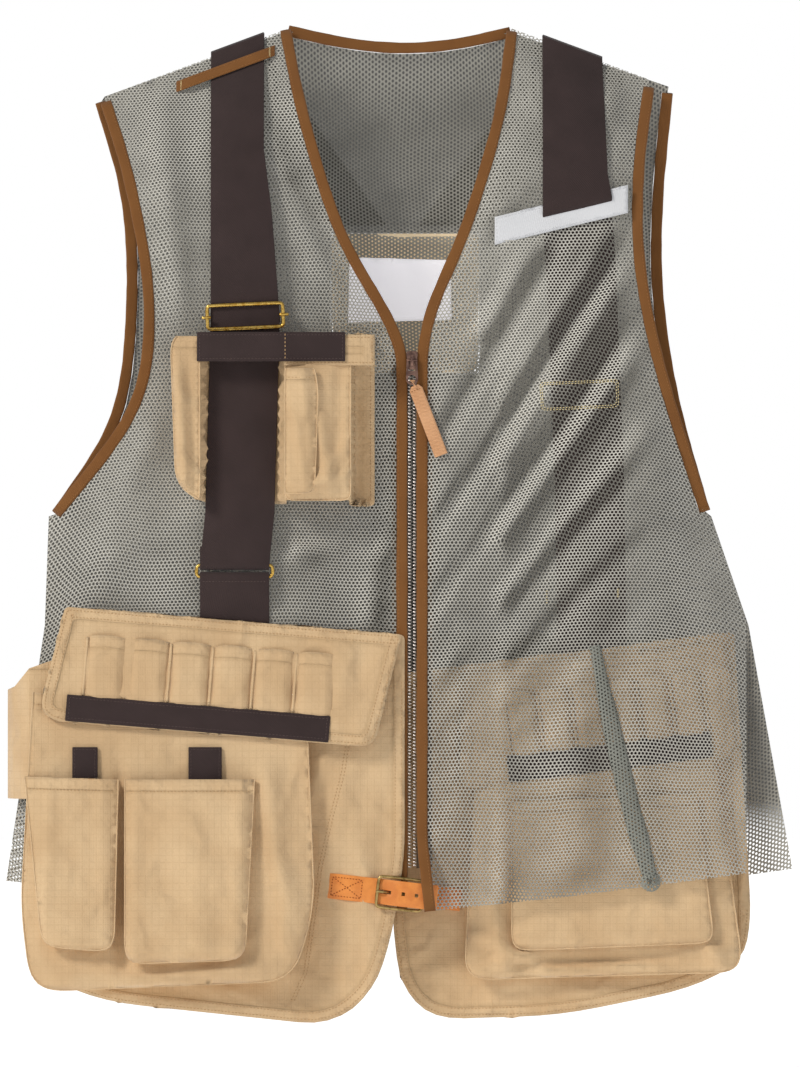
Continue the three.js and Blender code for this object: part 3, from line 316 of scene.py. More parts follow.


def knit(name, light, dark, hole_r, slant, shaded_lining=0.0):
    """Yarn round holes. "tone" paints light and shade on the drape's folds; the lining closes the holes with
    painted shade, a dark colour for the shaded second layer of the same knit, except inside the window where
    the patch shows through."""
    made, tree, point = start_material(name)
    flat = node(tree, "ShaderNodeUVMap", uv_map="cloth").outputs[0]
    turned = node(tree, "ShaderNodeVectorRotate", {
        "Vector": flat, "Angle": math.radians(slant)}, rotation_type="Z_AXIS").outputs[0]
    wide, tall = HOLE_PITCH, HOLE_PITCH * math.sqrt(3)
    nearest = None
    for shift in (0.0, 0.5):
        moved = vector_maths(tree, "ADD", turned, (wide * shift, tall * shift, 0))
        part = vector_maths(tree, "FRACTION", vector_maths(tree, "DIVIDE", moved, (wide, tall, 1.0)))
        centred = vector_maths(tree, "SUBTRACT", part, (0.5, 0.5, 0.5))
        real = vector_maths(tree, "MULTIPLY", centred, (wide, tall, 0.0))
        away = node(tree, "ShaderNodeVectorMath", {0: real}, operation="LENGTH").outputs["Value"]
        nearest = away if nearest is None else maths(tree, "MINIMUM", nearest, away)
    yarn = spread(tree, nearest, hole_r - 0.14, hole_r + 0.14)
    hole_rim_shade = spread(tree, nearest, hole_r, hole_r + 0.6, 1.0, 0.0)
    # painted light and shade: the stored "tone" lightens and darkens the yarn along the drape's folds
    tone = node(tree, "ShaderNodeAttribute", attribute_name="tone").outputs["Fac"]
    cloudy = blotches(tree, point, 40.0, 2.0)
    lit = maths(tree, "MULTIPLY_ADD", maths(tree, "SUBTRACT", cloudy, 0.5), 0.35, tone)
    base = mix_colour(tree, lit, srgb(dark), srgb(light))
    # painted shade: the yarn is darker in a ring round each hole
    shaded = mix_colour(tree, times(tree, hole_rim_shade, 0.3), base, srgb("#4F4D46"))
    alpha = yarn
    if shaded_lining:
        x, _, z = split(tree, point)
        window = times(tree, between(tree, x, *PATCH[:2]), between(tree, z, *PATCH[2:]))
        closed = times(tree, spread(tree, z, *SHADED_LINING_ABOVE, 0.0, shaded_lining),
                       maths(tree, "SUBTRACT", 1.0, window))
        alpha = maths(tree, "MAXIMUM", yarn, closed)
        # painted shade: the closed holes take a dark colour for the shaded second layer
        shaded = mix_colour(tree, yarn, srgb("#33312C"), shaded)
    shader = node(tree, "ShaderNodeBsdfPrincipled", {
        "Base Color": shaded, "Roughness": 0.6, "Sheen Weight": 0.15, "Specular IOR Level": 0.35,
        "Normal": bump(tree, times(tree, yarn, 0.5), MM, 0.5), "Alpha": alpha})
    node(tree, "ShaderNodeOutputMaterial", {"Surface": shader.outputs[0]})
    return made


patch_low, patch_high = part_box("back_patch")
PATCH = (patch_low.x / MM, patch_high.x / MM, patch_low.z / MM, patch_high.z / MM)
sport_mesh = knit("sport_mesh", "#D3D0C6", "#716E66", HOLE_R, 0)
# painted shade: the back sheet's knit is darker than the front's, as it lies in shade behind it
sport_mesh_back_shaded = knit("sport_mesh_back_shaded", "#BDBAB0", "#66645C", HOLE_R * 0.85, 30, 0.95)
# painted shade: the rolled dart's knit is darker still, for the shade between its rolled layers
shaded_doubled_mesh = knit("sport_mesh_doubled_shaded", "#92948B", "#5F615A", 0.72, 25)
print("mesh holes", HOLE_PITCH, "mm apart")

# %% [markdown]
# Bindings are folded plain cotton tape in russet brown, matt, with scattered darker threads.
# Straps are heavy twill webbing, nearly black brown, whose slanted ribs carry a painted highlight on their
# tops.

# %% Binding, webbing and tapes
def woven(name, light, dark, pitch, slope, rise, roughness=0.85, sheen=0.1):
    """Twill or plain tape: ribs at a slope with a painted highlight on their tops, patchy dye and fine
    fibres.
    """
    made, tree, point = start_material(name)
    x, y, z = split(tree, point)
    run = maths(tree, "MULTIPLY_ADD", z, slope, plus(tree, x, y))
    ribs = wave(tree, run, pitch)
    across = wave(tree, maths(tree, "SUBTRACT", x, z), pitch * 0.8)
    dyed = blotches(tree, point, 22.0, 3.0)
    fibre = blotches(tree, point, 0.9, 1.0)
    base = mix_colour(tree, dyed, srgb(light), srgb(dark))
    fuzz = mix_colour(tree, times(tree, fibre, 0.3), base, srgb(dark))
    # painted highlight: the ribs' tops are mixed towards the light colour
    ribs_painted_highlight = mix_colour(tree, times(tree, ribs, 0.16), fuzz, srgb(light))
    height = maths(tree, "MULTIPLY_ADD", ribs, rise,
                   maths(tree, "MULTIPLY_ADD", across, rise * 0.4, times(tree, dyed, rise)))
    return end_material(made, tree, ribs_painted_highlight, bump(tree, height, MM, 0.7), {
        "Roughness": roughness, "Sheen Weight": sheen, "Specular IOR Level": 0.25})


binding_cloth = woven("binding_cotton", "#86592C", "#6B421D", 1.3, 0.6, 0.12)
webbing = woven("twill_webbing", "#3F3130", "#2C2120", 1.7, 0.8, 0.14)
white_tape = woven("white_polyester_tape", "#DCDDE0", "#C9CACD", 1.6, 0.2, 0.1, 0.6, 0.2)
label_cloth = woven("satin_label", "#F8F6FA", "#EEECF0", 1.2, 0.1, 0.04, 0.5, 0.1)
for part in label_cloth.node_tree.nodes:
    if part.type == "BSDF_PRINCIPLED":
        part.inputs["Emission Color"].default_value = srgb("#F3F0F5")
        part.inputs["Emission Strength"].default_value = 0.38  # light bounces in through the mesh
zip_tape = woven("zip_tape", "#6A5744", "#4E3F31", 1.2, 1.0, 0.1)
grosgrain = woven("grosgrain", "#EAB88C", "#B27D52", 21.6, 8.0, 0.3, 0.7, 0.2)
THREADS = {"white": white_tape}
for thread, name, light, dark in (
        ("brown", "russet_thread", "#9C6A38", "#85572B"), ("khaki", "khaki_thread", "#C4A278", "#B59167"),
        ("cream", "cream_thread", "#EEDDAA", "#DCC78E"), ("dark", "dark_thread", "#5D4C49", "#4C3D3B"),
        ("tan", "tan_thread", "#B0601F", "#9A5118")):
    THREADS[thread] = woven(name, light, dark, 0.8, 1.0, 0.05, 0.7)

# %% [markdown]
# Brass wire is bright and yellow with darker patches. The buckle is antiqued brass, darker in its patches,
# and the zip slider is bronzed.
# A metal's colour is in its base colour, metallic is 1,
# and fine scratches vary the roughness.

# %% Metals and leather
def metal(name, light, dark, rough_low, rough_high, scratch):
    made, tree, point = start_material(name)
    tarnish = blotches(tree, point, 4.0, 3.0)
    grain = blotches(tree, point, 0.6, 2.0)
    colour = mix_colour(tree, spread(tree, tarnish, 0.35, 0.7), srgb(light), srgb(dark))
    rough = spread(tree, grain, 0.3, 0.7, rough_low, rough_high)
    return end_material(made, tree, colour, bump(tree, grain, MM, scratch), {
        "Metallic": 1.0, "Roughness": rough})


brass = metal("polished_brass", "#E2BE68", "#BF9440", 0.22, 0.4, 0.05)
antique_brass = metal("antique_brass", "#B9A06A", "#7F6A3E", 0.3, 0.5, 0.1)
bronzed_metal = metal("bronzed_zinc", "#8F7164", "#67504A", 0.3, 0.5, 0.1)
zip_metal = metal("zip_teeth_metal", "#E6DDD8", "#B7ADA6", 0.25, 0.45, 0.1)


def strap_leather():
    """Vegetable-tanned leather: orange tan with fine pores, cloudy dye and a waxed shine."""
    made, tree, point = start_material("bridle_leather")
    pores = node(tree, "ShaderNodeTexVoronoi", {"Vector": point, "Scale": 1.1}).outputs[0]
    cloud = blotches(tree, point, 9.0, 4.0)
    colour = mix_colour(tree, spread(tree, cloud, 0.3, 0.7), srgb("#E58E3C"), srgb("#CF772B"))
    worn = mix_colour(tree, spread(tree, pores, 0.0, 0.35, 0.3, 0.0), colour, srgb("#A85A1C"))
    height = maths(tree, "MULTIPLY_ADD", pores, 0.12, times(tree, cloud, 0.3))
    return end_material(made, tree, worn, bump(tree, height, MM, 0.6), {
        "Roughness": 0.45, "Coat Weight": 0.15, "Coat Roughness": 0.35})


leather = strap_leather()
print(len(bpy.data.materials), "materials")

# %% [markdown]
# The cloth cutter. A CAD solid's faces that look outwards have a border; that border is the
# pattern piece. It is filled with a fine net of triangles, each point is dropped back onto the
# solid to find its depth, and then folds push the points along Y. Storing each point's distance
# to the border lets the material draw hems and puckers.

# %% Borders of a CAD solid
def outward_faces(name, sign):
    """Faces of a CAD node that look along sign * Y, with corners merged by place."""
    mesh = frame["nodes"][name].data
    index, places, faces = {}, [], []
    for face in mesh.polygons:
        if face.normal.y * sign < 0.4:
            continue
        corners = []
        for v in face.vertices:
            co = mesh.vertices[v].co
            key = tuple(round(c, 5) for c in co)
            if key not in index:
                index[key] = len(places)
                places.append(Vector(co))
            corners.append(index[key])
        faces.append(corners)
    return places, faces


def borders(name, sign=-1):
    """Closed border loops of those faces, the longest first."""
    places, faces = outward_faces(name, sign)
    edges = {(f[i], f[(i + 1) % len(f)]) for f in faces for i in range(len(f)) if f[i] != f[(i + 1) % len(f)]}
    onward = {a: b for a, b in sorted(edges) if (b, a) not in edges}
    loops = []
    while onward:
        start = min(onward)
        loop, here = [], start
        while here in onward:
            loop.append(places[here])
            here = onward.pop(here)
        if len(loop) > 2:
            loops.append(loop)
    return sorted(loops, key=lambda loop: -length_of(loop))


def length_of(loop, closed=True):
    count = len(loop) if closed else len(loop) - 1
    return sum((loop[(i + 1) % len(loop)] - loop[i]).length for i in range(count))


def evenly(points, step, closed=False):
    """The same line with points about step apart, keeping its corners."""
    out = []
    count = len(points) if closed else len(points) - 1
    for i in range(count):
        a, b = points[i], points[(i + 1) % len(points)]
        pieces = max(1, round((b - a).length / step))
        out += [a.lerp(b, k / pieces) for k in range(pieces)]
    return out if closed else out + [points[-1]]


def without_crumbs(loop, least):
    """Drops border points that are closer than least to the one before, unless they turn sharply."""
    kept = [loop[0]]
    for i in range(1, len(loop)):
        before, here, after = kept[-1], loop[i], loop[(i + 1) % len(loop)]
        turn = (here - before).angle(after - here, 0.0) if (after - here).length > 1e-7 else 0.0
        if (here - before).length > least or turn > 0.6:
            kept.append(here)
    return kept


def inside(x, z, loop):
    """Whether a point lies in a border, seen along Y."""
    hit = False
    for i in range(len(loop)):
        a, b = loop[i], loop[i - 1]
        if (a.z > z) != (b.z > z) and x < (b.x - a.x) * (z - a.z) / (b.z - a.z) + a.x:
            hit = not hit
    return hit


print("pattern border of the right panel", round(length_of(borders("panel_right")[0]), 3), "m")

# %% [markdown]
# Folds are functions of place. Slow noise gives a soft hang, a crease is a long smooth ridge
# between two points, and both fade where the cloth is sewn down.

# %% Folds
CREASE_GAIN = 1.6  # deepens every typed crease alike


def soft(x, z, size, seed):
    """Smooth noise from about -1 to 1; size is in metres."""
    return noise.noise(Vector((x / size, seed * 3.7, z / size)))


def crease(x, z, line):
    """Height of a ridge along (x0, z0, x1, z1, width, height), all in millimetres."""
    x0, z0, x1, z1, width, height = line
    px, pz = x / MM - x0, z / MM - z0
    dx, dz = x1 - x0, z1 - z0
    long2 = dx * dx + dz * dz
    t = (px * dx + pz * dz) / long2
    over = max(0.0, -t, t - 1.0) * math.sqrt(long2)
    off = math.hypot(px - t * dx, pz - t * dz)
    return CREASE_GAIN * height * MM * math.exp(-(off / width) ** 2 - (over / (2.5 * width)) ** 2)


def crumple(x, z, size, seed):
    """Sharp-edged folds, from about -1 to 1: ridged noise, as in stiff washed cotton."""
    sharp = 1.0 - 2.6 * abs(soft(x + 0.01 * soft(x, z, size, seed + 9), z, size, seed))
    return max(-1.0, sharp) * (0.6 + 0.8 * soft(x, z, size * 2.2, seed + 5))


def mesh_object(name, points, faces, material, smooth=True):
    data = bpy.data.meshes.new(name)
    data.from_pydata([tuple(p) for p in points], [], faces)
    data.materials.append(material)
    if smooth:
        data.shade_smooth()
    made = bpy.data.objects.new(name, data)
    scene.collection.objects.link(made)
    return made


def store(made, name, values):
    """Keeps one number for each point, which the material reads by name."""
    made.data.attributes.new(name, "FLOAT", "POINT").data.foreach_set("value", values)


def settle(made):
    """Applies an object's modifiers to its mesh."""
    made.data = bpy.data.meshes.new_from_object(made.evaluated_get(bpy.context.evaluated_depsgraph_get()))
    made.modifiers.clear()
    return made


def joins(made, body, slot, *nodes):
    """The piece rides on a body and stands for CAD nodes; slot is not used."""
    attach(made, body)
    if nodes:
        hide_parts(*nodes)
    return made


def search_tree(points):
    """A search tree of points, seen along Y."""
    tree = kdtree.KDTree(len(points))
    for i, p in enumerate(points):
        tree.insert(Vector((p.x, 0, p.z)), i)
    tree.balance()
    return tree


def in_cloth(x, z, rings):
    """Whether a point lies in the outer ring and in none of the holes."""
    return inside(x, z, rings[0]) and not any(inside(x, z, ring) for ring in rings[1:])


CRUMB = 0.3  # border points closer than this share of a step are dropped
RIM_ROOM = 0.55  # the net keeps this share of a step away from the border
ROW_STEP = 0.87  # from one row of the net to the next, as a share of a step


def cut_cloth(name, source, material, step=0.005, sign=-1, fold=None, thick=0.0, smooth_passes=0,
              loops=None, held_by=None, hem_line=None):
    """A cloth piece with the border of CAD node source, dropped on it and folded outwards by fold.
    held_by and hem_line are lines that stand in for the border where only part of it is sewn."""
    rings = [evenly(without_crumbs(ring, step * CRUMB), step, True)
             for ring in loops or [borders(source, sign)[0]]]
    points, edges = [], []
    for ring in rings:
        start, n = len(points), len(ring)
        edges += [(start + i, start + (i + 1) % n) for i in range(n)]
        points += ring
    tree = search_tree(points)
    lo = Vector((min(p.x for p in points), 0, min(p.z for p in points)))
    hi = Vector((max(p.x for p in points), 0, max(p.z for p in points)))
    row, z = 0, lo.z + step / 2
    while z < hi.z:
        x = lo.x + (row % 2) * step / 2
        while x < hi.x:
            if tree.find(Vector((x, 0, z)))[2] > step * RIM_ROOM and in_cloth(x, z, rings):
                points.append(Vector((x, 0, z)))
            x += step
        row, z = row + 1, z + step * ROW_STEP
    flat, _, triangles = delaunay_2d_cdt([Vector((p.x, p.z)) for p in points], edges, [], 0, 1e-7)[:3]
    solid = BVHTree.FromPolygons(*outward_faces(source, sign))
    verts, away, hem = [], [], []
    held_tree = search_tree(evenly(held_by, 0.002)) if held_by else tree
    hem_tree = search_tree(evenly(hem_line, 0.002)) if hem_line else tree
    for p in flat:
        spot = Vector((p.x, 0, p.y))
        hit = solid.ray_cast(Vector((p.x, sign * 1.0, p.y)), Vector((0, -sign, 0)))[0]
        if hit is None:
            hit = solid.find_nearest(Vector((p.x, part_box(source)[0 if sign < 0 else 1].y, p.y)))[0]
        _, rim_index, rim_gap = tree.find(spot)
        on_rim = rim_gap < 1e-6 and smooth_passes
        verts.append(Vector((p.x, points[rim_index].y if on_rim else hit.y, p.y)))
        away.append(held_tree.find(spot)[2])
        hem.append(hem_tree.find(spot)[2])
    kept = []
    for t in triangles:
        mid = sum((verts[i] for i in t), Vector()) / 3
        if in_cloth(mid.x, mid.z, rings):
            kept.append(t if sign < 0 else t[::-1])
    near = {}
    for t in kept:
        for i in range(3):
            near.setdefault(t[i], set()).update(t)
    for _ in range(smooth_passes):
        level = [v.y for v in verts]
        for i, around in near.items():
            if away[i] > 1e-5:
                verts[i].y = sum(level[k] for k in around) / len(around)
    for i, v in enumerate(verts):
        if fold:
            v.y += sign * fold(v.x, v.z, away[i])
    used = sorted({i for t in kept for i in t})
    renumber = {i: k for k, i in enumerate(used)}
    made = mesh_object(name, [verts[i] for i in used], [[renumber[i] for i in t] for t in kept], material)
    store(made, "edge", [hem[i] for i in used])
    return thicken(made, thick) if thick else made


def thicken(made, thick):
    """Gives a sheet its thickness, inwards from its face."""
    layer = made.modifiers.new("thickness", "SOLIDIFY")
    layer.thickness = thick
    layer.offset = -1.0
    return settle(made)


def skin(made):
    """A search tree over a finished piece, for laying stitches on it."""
    return BVHTree.FromPolygons([v.co for v in made.data.vertices],
                                [tuple(f.vertices) for f in made.data.polygons])


def on_skin(tree, x, z, sign=-1, lift=0.0):
    """The point where a line along Y meets the skin, or None."""
    hit = tree.ray_cast(Vector((x, sign * 1.0, z)), Vector((0, -sign, 0)))[0]
    return None if hit is None else hit + Vector((0, sign * lift, 0))


# %% [markdown]
# The three mesh sheets come first: the back, and two fronts that meet at the zip. They hang
# from the shoulders in long slanting folds, deepest on the wearer's left chest. The lattice
# follows a flat map of the cloth, stored as "cloth" in millimetres, with a little pull in it.

# %% Mesh sheets
def hang(x, z, seed, size=0.09, depth=3.0):
    return depth * MM * soft(x * 1.6, z * 0.55, size, seed)


def back_fold(x, z, away):
    held = min(1.0, away / 0.03)
    return held * (hang(x, z, 1, 0.1, 3.0) + 0.0012 * soft(x, z, 0.03, 2))


RIGHT_FRONT_CREASES = [
    (-290, -520, -215, -380, 14, 4.0), (-262, -600, -205, -470, 11, 3.0), (-240, -400, -196, -300, 12, 3.0),
    (-120, -20, -60, -150, 12, 2.5), (-180, -40, -170, -170, 12, 2.5), (-285, -630, -270, -520, 9, -3.0),
    (-60, -360, -12, -300, 10, 2.0), (-20, -420, -10, -350, 8, 2.0), (-70, -100, -20, -190, 9, -1.5),
]


def right_fold(x, z, away):
    held = min(1.0, away / 0.02)
    deep = sum(crease(x, z, line) for line in RIGHT_FRONT_CREASES)
    return held * (hang(x, z, 4, 0.08, 2.2) + 0.001 * soft(x, z, 0.025, 5) + deep)


FOLD_LEAN = math.radians(56)  # the long folds rise towards the shoulder at this slope


def left_fold(x, z, away):
    """Slanting folds that fan from the zip up to the shoulder, deepest across the chest."""
    held = min(1.0, away / 0.022)
    px, pz = x / MM - 110, z / MM + 250
    across = px * math.sin(FOLD_LEAN) - pz * math.cos(FOLD_LEAN)
    along = px * math.cos(FOLD_LEAN) + pz * math.sin(FOLD_LEAN)
    fan = across / (1.0 + 0.0016 * along) + 9 * soft(x, z, 0.12, 8)
    chest = math.exp(-(across / 95) ** 2 - ((along + 30) / 230) ** 2)
    ridges = 3.6 * math.sin(fan * 2 * math.pi / 37) + 1.9 * math.sin(fan * 2 * math.pi / 21 + 1.3)
    low = math.exp(-((z / MM + 560) / 120) ** 2)
    gather = 1.6 * low * math.sin((x / MM) * 2 * math.pi / 58 + 2.0 * soft(x, z, 0.1, 3))
    return held * MM * (3.0 + chest * ridges + gather
                        + 1.4 * soft(x * 1.5, z * 0.6, 0.09, 6) + 0.9 * soft(x, z, 0.028, 9))


def map_cloth(made, pull, seed):
    """Stores the flat map that the knit is drawn on, in millimetres, pulled a little by folds."""
    layer = made.data.uv_layers.new(name="cloth")
    for loop in made.data.loops:
        p = made.data.vertices[loop.vertex_index].co
        layer.data[loop.index].uv = (
            p.x / MM + pull * soft(p.x, p.z, 0.08, seed),
            p.z / MM + p.y * 500 + pull * soft(p.x, p.z, 0.09, seed + 1))
    return made


# painted light: the painted drape shade is lit from this way, the upper left
PAINTED_SHADE_LIGHT = Vector((-0.62, -0.55, 0.56)).normalized()
PAINTED_SHADE_SIDE, PAINTED_SHADE_TOP = 0.205, -0.02  # past these the painted light and shade is even, in metres
PAINTED_SHADE_FADE = 0.05


def paint_drape_shade(made, amount=2.2):
    """Stores painted light and shade for the drape: bright on slopes that face the upper left, dark in the
    valleys.
    """
    flat = PAINTED_SHADE_LIGHT.dot(Vector((0, -1, 0)))
    made.data.update()
    painted_shades = []
    for v in made.data.vertices:
        n = v.normal if v.normal.y < 0 else -v.normal
        bend = min(1.0, max(0.0, (PAINTED_SHADE_SIDE - abs(v.co.x)) / PAINTED_SHADE_FADE),
                   max(0.0, (PAINTED_SHADE_TOP - v.co.z) / PAINTED_SHADE_FADE))
        painted_shades.append(0.5 + (1 - bend) * 0.15 + bend * amount * (PAINTED_SHADE_LIGHT.dot(n) - flat)
                     + 0.1 * soft(v.co.x, v.co.z, 0.012, 15))
    store(made, "tone", painted_shades)
    return made


SLIDE_SIDE = 0.006  # a sliding piece is also tried this far to either side


def press(made, source, others, gap=0.5, slide=0.0):
    """Keeps a cloth behind what lies on it, also when that slides down, and in front of what
    lies under it."""
    own = BVHTree.FromPolygons(*outward_faces(source, -1))
    pairs = [[BVHTree.FromPolygons(*outward_faces(other, side)) for side in (-1, 1)] for other in others]
    offsets = [(0.0, 0.0)]
    if slide:
        offsets = [(side, slide * k / 4) for side in (-SLIDE_SIDE, 0.0, SLIDE_SIDE) for k in range(5)]
    for v, (side, drop) in ((v, offset) for v in made.data.vertices for offset in offsets):
        level = own.find_nearest(v.co)[0].y
        for faces_front, faces_back in pairs:
            front = faces_front.ray_cast(Vector((v.co.x + side, -1, v.co.z + drop)), Vector((0, 1, 0)))[0]
            if front is None:
                continue
            if front.y > level:
                v.co.y = min(v.co.y, front.y - gap * MM)
                continue
            back = faces_back.ray_cast(front - Vector((0, 1e-4, 0)), Vector((0, 1, 0)))[0]
            if back is not None:
                v.co.y = max(v.co.y, back.y + gap * MM)
    return made


FRONT_TRIM = ["binding_front_right", "binding_armhole_right_front",
              "binding_front_left", "binding_armhole_left_front"]
ON_MESH = ["strap_right", "strap_left", "shoulder_tape_right", "shoulder_tape_left", "slit_tape",
           "pouch_body", "panel_right", "panel_left", "flap_left", "tool_loops_left", "flap_band_left",
           "pocket_big_left", "strap_back", "back_patch", "rear_panel", "care_label",
           "zip_tape_right", "zip_tape_left", "side_wing_right", "leather_strap", "ring_tab"]
POUCH_RUN = 0.034  # the pouch's slide and a little more
SWEEP_X, SWEEP_Z, SWEEP_Y = 0.075, -0.215, -0.0436  # the mesh keeps behind the ribbon's sweep
MESH_STEP = 0.0065
mesh_pieces = {}
for name, sign, fold, look in (
        ("mesh_back", 1, back_fold, sport_mesh_back_shaded),
        ("mesh_front_right", -1, right_fold, sport_mesh),
        ("mesh_front_left", -1, left_fold, sport_mesh)):
    loops = borders(name, sign)[:2 if name == "mesh_front_left" else 1]
    piece = cut_cloth(name + "_cloth", name, look, MESH_STEP, sign, fold=fold, smooth_passes=14, loops=loops)
    press(piece, name, ON_MESH + (FRONT_TRIM if sign < 0 else []))
    if name == "mesh_front_right":
        press(piece, name, ["pouch_body"], 0.9, POUCH_RUN)
    if name == "mesh_front_left":  # the ribbon swings over this strip, wherever the slider stops
        for v in piece.data.vertices:
            if v.co.x < SWEEP_X and v.co.z < SWEEP_Z:
                v.co.y = max(v.co.y, SWEEP_Y)
    map_cloth(piece, 5.0, 11)
    # painted light and shade on the sheet's folds
    paint_drape_shade(piece)
    joins(piece, "vest", "sport_mesh", name)
    mesh_pieces[name] = piece
    print(name, len(piece.data.vertices), "points")

# %% [markdown]
# Round-edged strips carry the rest of the trim: bindings, hems, rolled darts and piping.
# A strip is swept along a smooth line with a flattened round section. Its middle line is found
# from the CAD solid: the face's border is a long thin loop, and its two shortest edges are its
# ends, so the two rails between them give the middle.

# %% Swept strips
def rails(loop):
    """The two long sides of a strip's border, from the same end; its ends are two short opposite edges."""
    half = len(loop) // 2

    def edge(i):
        return (loop[(i + 1) % len(loop)] - loop[i % len(loop)]).length
    first = min(range(half), key=lambda i: edge(i) + edge(i + half))
    left = [loop[i % len(loop)] for i in range(first + 1, first + half + 1)]
    right = [loop[i % len(loop)] for i in range(first + half + 1, first + len(loop) + 1)]
    return left, right[::-1]


def middle_line(name, sign=-1, count=60):
    left, right = rails(borders(name, sign)[0])
    left, right = along(left, count), along(right, count)
    return smooth_line([(a + b) / 2 for a, b in zip(left, right)], 3)


def along(points, count):
    """count points at even spacing on a line."""
    total = length_of(points, False)
    out, walked, i = [], 0.0, 0
    for k in range(count):
        want = total * k / (count - 1)
        while i < len(points) - 2 and walked + (points[i + 1] - points[i]).length < want:
            walked += (points[i + 1] - points[i]).length
            i += 1
        part = (points[i + 1] - points[i]).length
        out.append(points[i].lerp(points[i + 1], min(1.0, (want - walked) / max(part, 1e-9))))
    return out


def smooth_line(points, passes):
    for _ in range(passes):
        points = [points[0]] + [(points[i - 1] + points[i] * 2 + points[i + 1]) / 4
                                for i in range(1, len(points) - 1)] + [points[-1]]
    return points


def strip_faces(rows, count, closed=True, capped=False):
    """Faces between neighbouring rows of count points; closed rows are rings, capped at both ends."""
    faces = [(i * count + j, i * count + (j + 1) % count,
              (i + 1) * count + (j + 1) % count, (i + 1) * count + j)
             for i in range(rows - 1) for j in range(count if closed else count - 1)]
    if capped:
        faces += [tuple(range(count))[::-1], tuple((rows - 1) * count + j for j in range(count))]
    return faces


def sweep(points, section, facing=Vector((0, -1, 0))):
    """Vertices and faces of a section of (across, out) pairs carried along a line of points."""
    verts = []
    for i, p in enumerate(points):
        ahead = (points[min(i + 1, len(points) - 1)] - points[max(i - 1, 0)]).normalized()
        across = ahead.cross(facing).normalized()
        out = across.cross(ahead).normalized()
        verts += [p + across * a + out * b for a, b in section]
    return verts, strip_faces(len(points), len(section), capped=True)


def swept(name, material, *how):
    """A finished strip, swept along a line."""
    made = mesh_object(name, *sweep(*how), material)
    outward(made)
    return made


ROUND_SIDES = 14


def flat_round(width, height, sides=ROUND_SIDES, power=0.55):
    """A section like a flattened pipe; a small power makes it squarer."""
    out = []
    for k in range(sides):
        a = 2 * math.pi * k / sides
        c, s = math.cos(a), math.sin(a)
        out.append((width / 2 * math.copysign(abs(c) ** power, c),
                    height / 2 * math.copysign(abs(s) ** power, s)))
    return out


class Batch:
    """Collects small shapes into one mesh."""

    def __init__(self):
        self.verts, self.faces = [], []

    def add(self, verts, faces):
        start = len(self.verts)
        self.verts += verts
        self.faces += [tuple(start + i for i in f) for f in faces]

    def build(self, name, material):
        made = mesh_object(name, self.verts, self.faces, material)
        outward(made)
        return made


def outward(made):
    """Turns every shell's faces outwards."""
    shape = bmesh.new()
    shape.from_mesh(made.data)
    bmesh.ops.recalc_face_normals(shape, faces=shape.faces)
    shape.to_mesh(made.data)
    shape.free()


# %% [markdown]
# Stitches are real little spindles of thread, pressed halfway into the cloth. Runs of them are
# gathered by thread colour and by the body that they ride on, and built in one go at the end.

# %% Stitches
STITCH = 2.6  # stitch and gap, coarser than the real 2.2 mm so that the row reads
SEWN_LIFT = 0.15 * MM
seams = {}


def stitch_row(points, thread="khaki", body="vest", pitch=STITCH, width=0.55, facing=-1, share=0.68):
    """A row of stitches along a line that lies on the cloth."""
    points = [p for p in points if p is not None]
    if len(points) < 2:
        return
    batch = seams.setdefault((thread, body), Batch())
    total = length_of(points, False)
    count = max(1, int(total / (pitch * MM)))
    ends = along(points, count * 2 + 1)
    for k in range(count):
        a = ends[2 * k]
        b = a.lerp(ends[2 * k + 2], share)
        spindle(batch, a, b, width * MM, facing)


def spindle(batch, a, b, width, facing=-1):
    run = b - a
    side = run.cross(Vector((0, facing, 0)))
    if side.length < 1e-9:
        side = run.cross(Vector((1, 0, 0)))
    side.normalize()
    up = side.cross(run).normalized()
    if up.y * facing < 0:
        up = -up
    verts = [a - up * width * 0.3]
    for t in (0.25, 0.75):
        mid = a + run * t
        verts += [mid + side * width / 2, mid + up * width * 0.5,
                  mid - side * width / 2, mid - up * width * 0.3]
    verts.append(b - up * width * 0.3)
    faces = [(0, 1 + (j + 1) % 4, 1 + j) for j in range(4)]
    faces += [(1 + j, 1 + (j + 1) % 4, 5 + (j + 1) % 4, 5 + j) for j in range(4)]
    faces += [(9, 5 + j, 5 + (j + 1) % 4) for j in range(4)]
    batch.add(verts, faces)


def bar_tack(a, b, thread="khaki", body="vest", rows=9, width=1.8, facing=-1):
    """A short dense bar of cross stitches that locks a seam's end."""
    batch = seams.setdefault((thread, body), Batch())
    run = b - a
    side = run.cross(Vector((0, facing, 0))).normalized() * width * MM / 2
    for k in range(rows):
        mid = a + run * ((k + 0.5) / rows)
        spindle(batch, mid - side, mid + side, 0.5 * MM, facing)


def flat_line(spots, step):
    """Points about step apart along (x, z) spots in millimetres."""
    return evenly([Vector((x * MM, 0, z * MM)) for x, z in spots], step)


def sewn_line(made, spots, thread="khaki", body="vest", **how):
    """Stitches along (x, z) spots in millimetres, laid on a finished piece's front."""
    tree = skin(made)
    stitch_row([on_skin(tree, p.x, p.z, -1, SEWN_LIFT) for p in flat_line(spots, 0.004)], thread, body, **how)


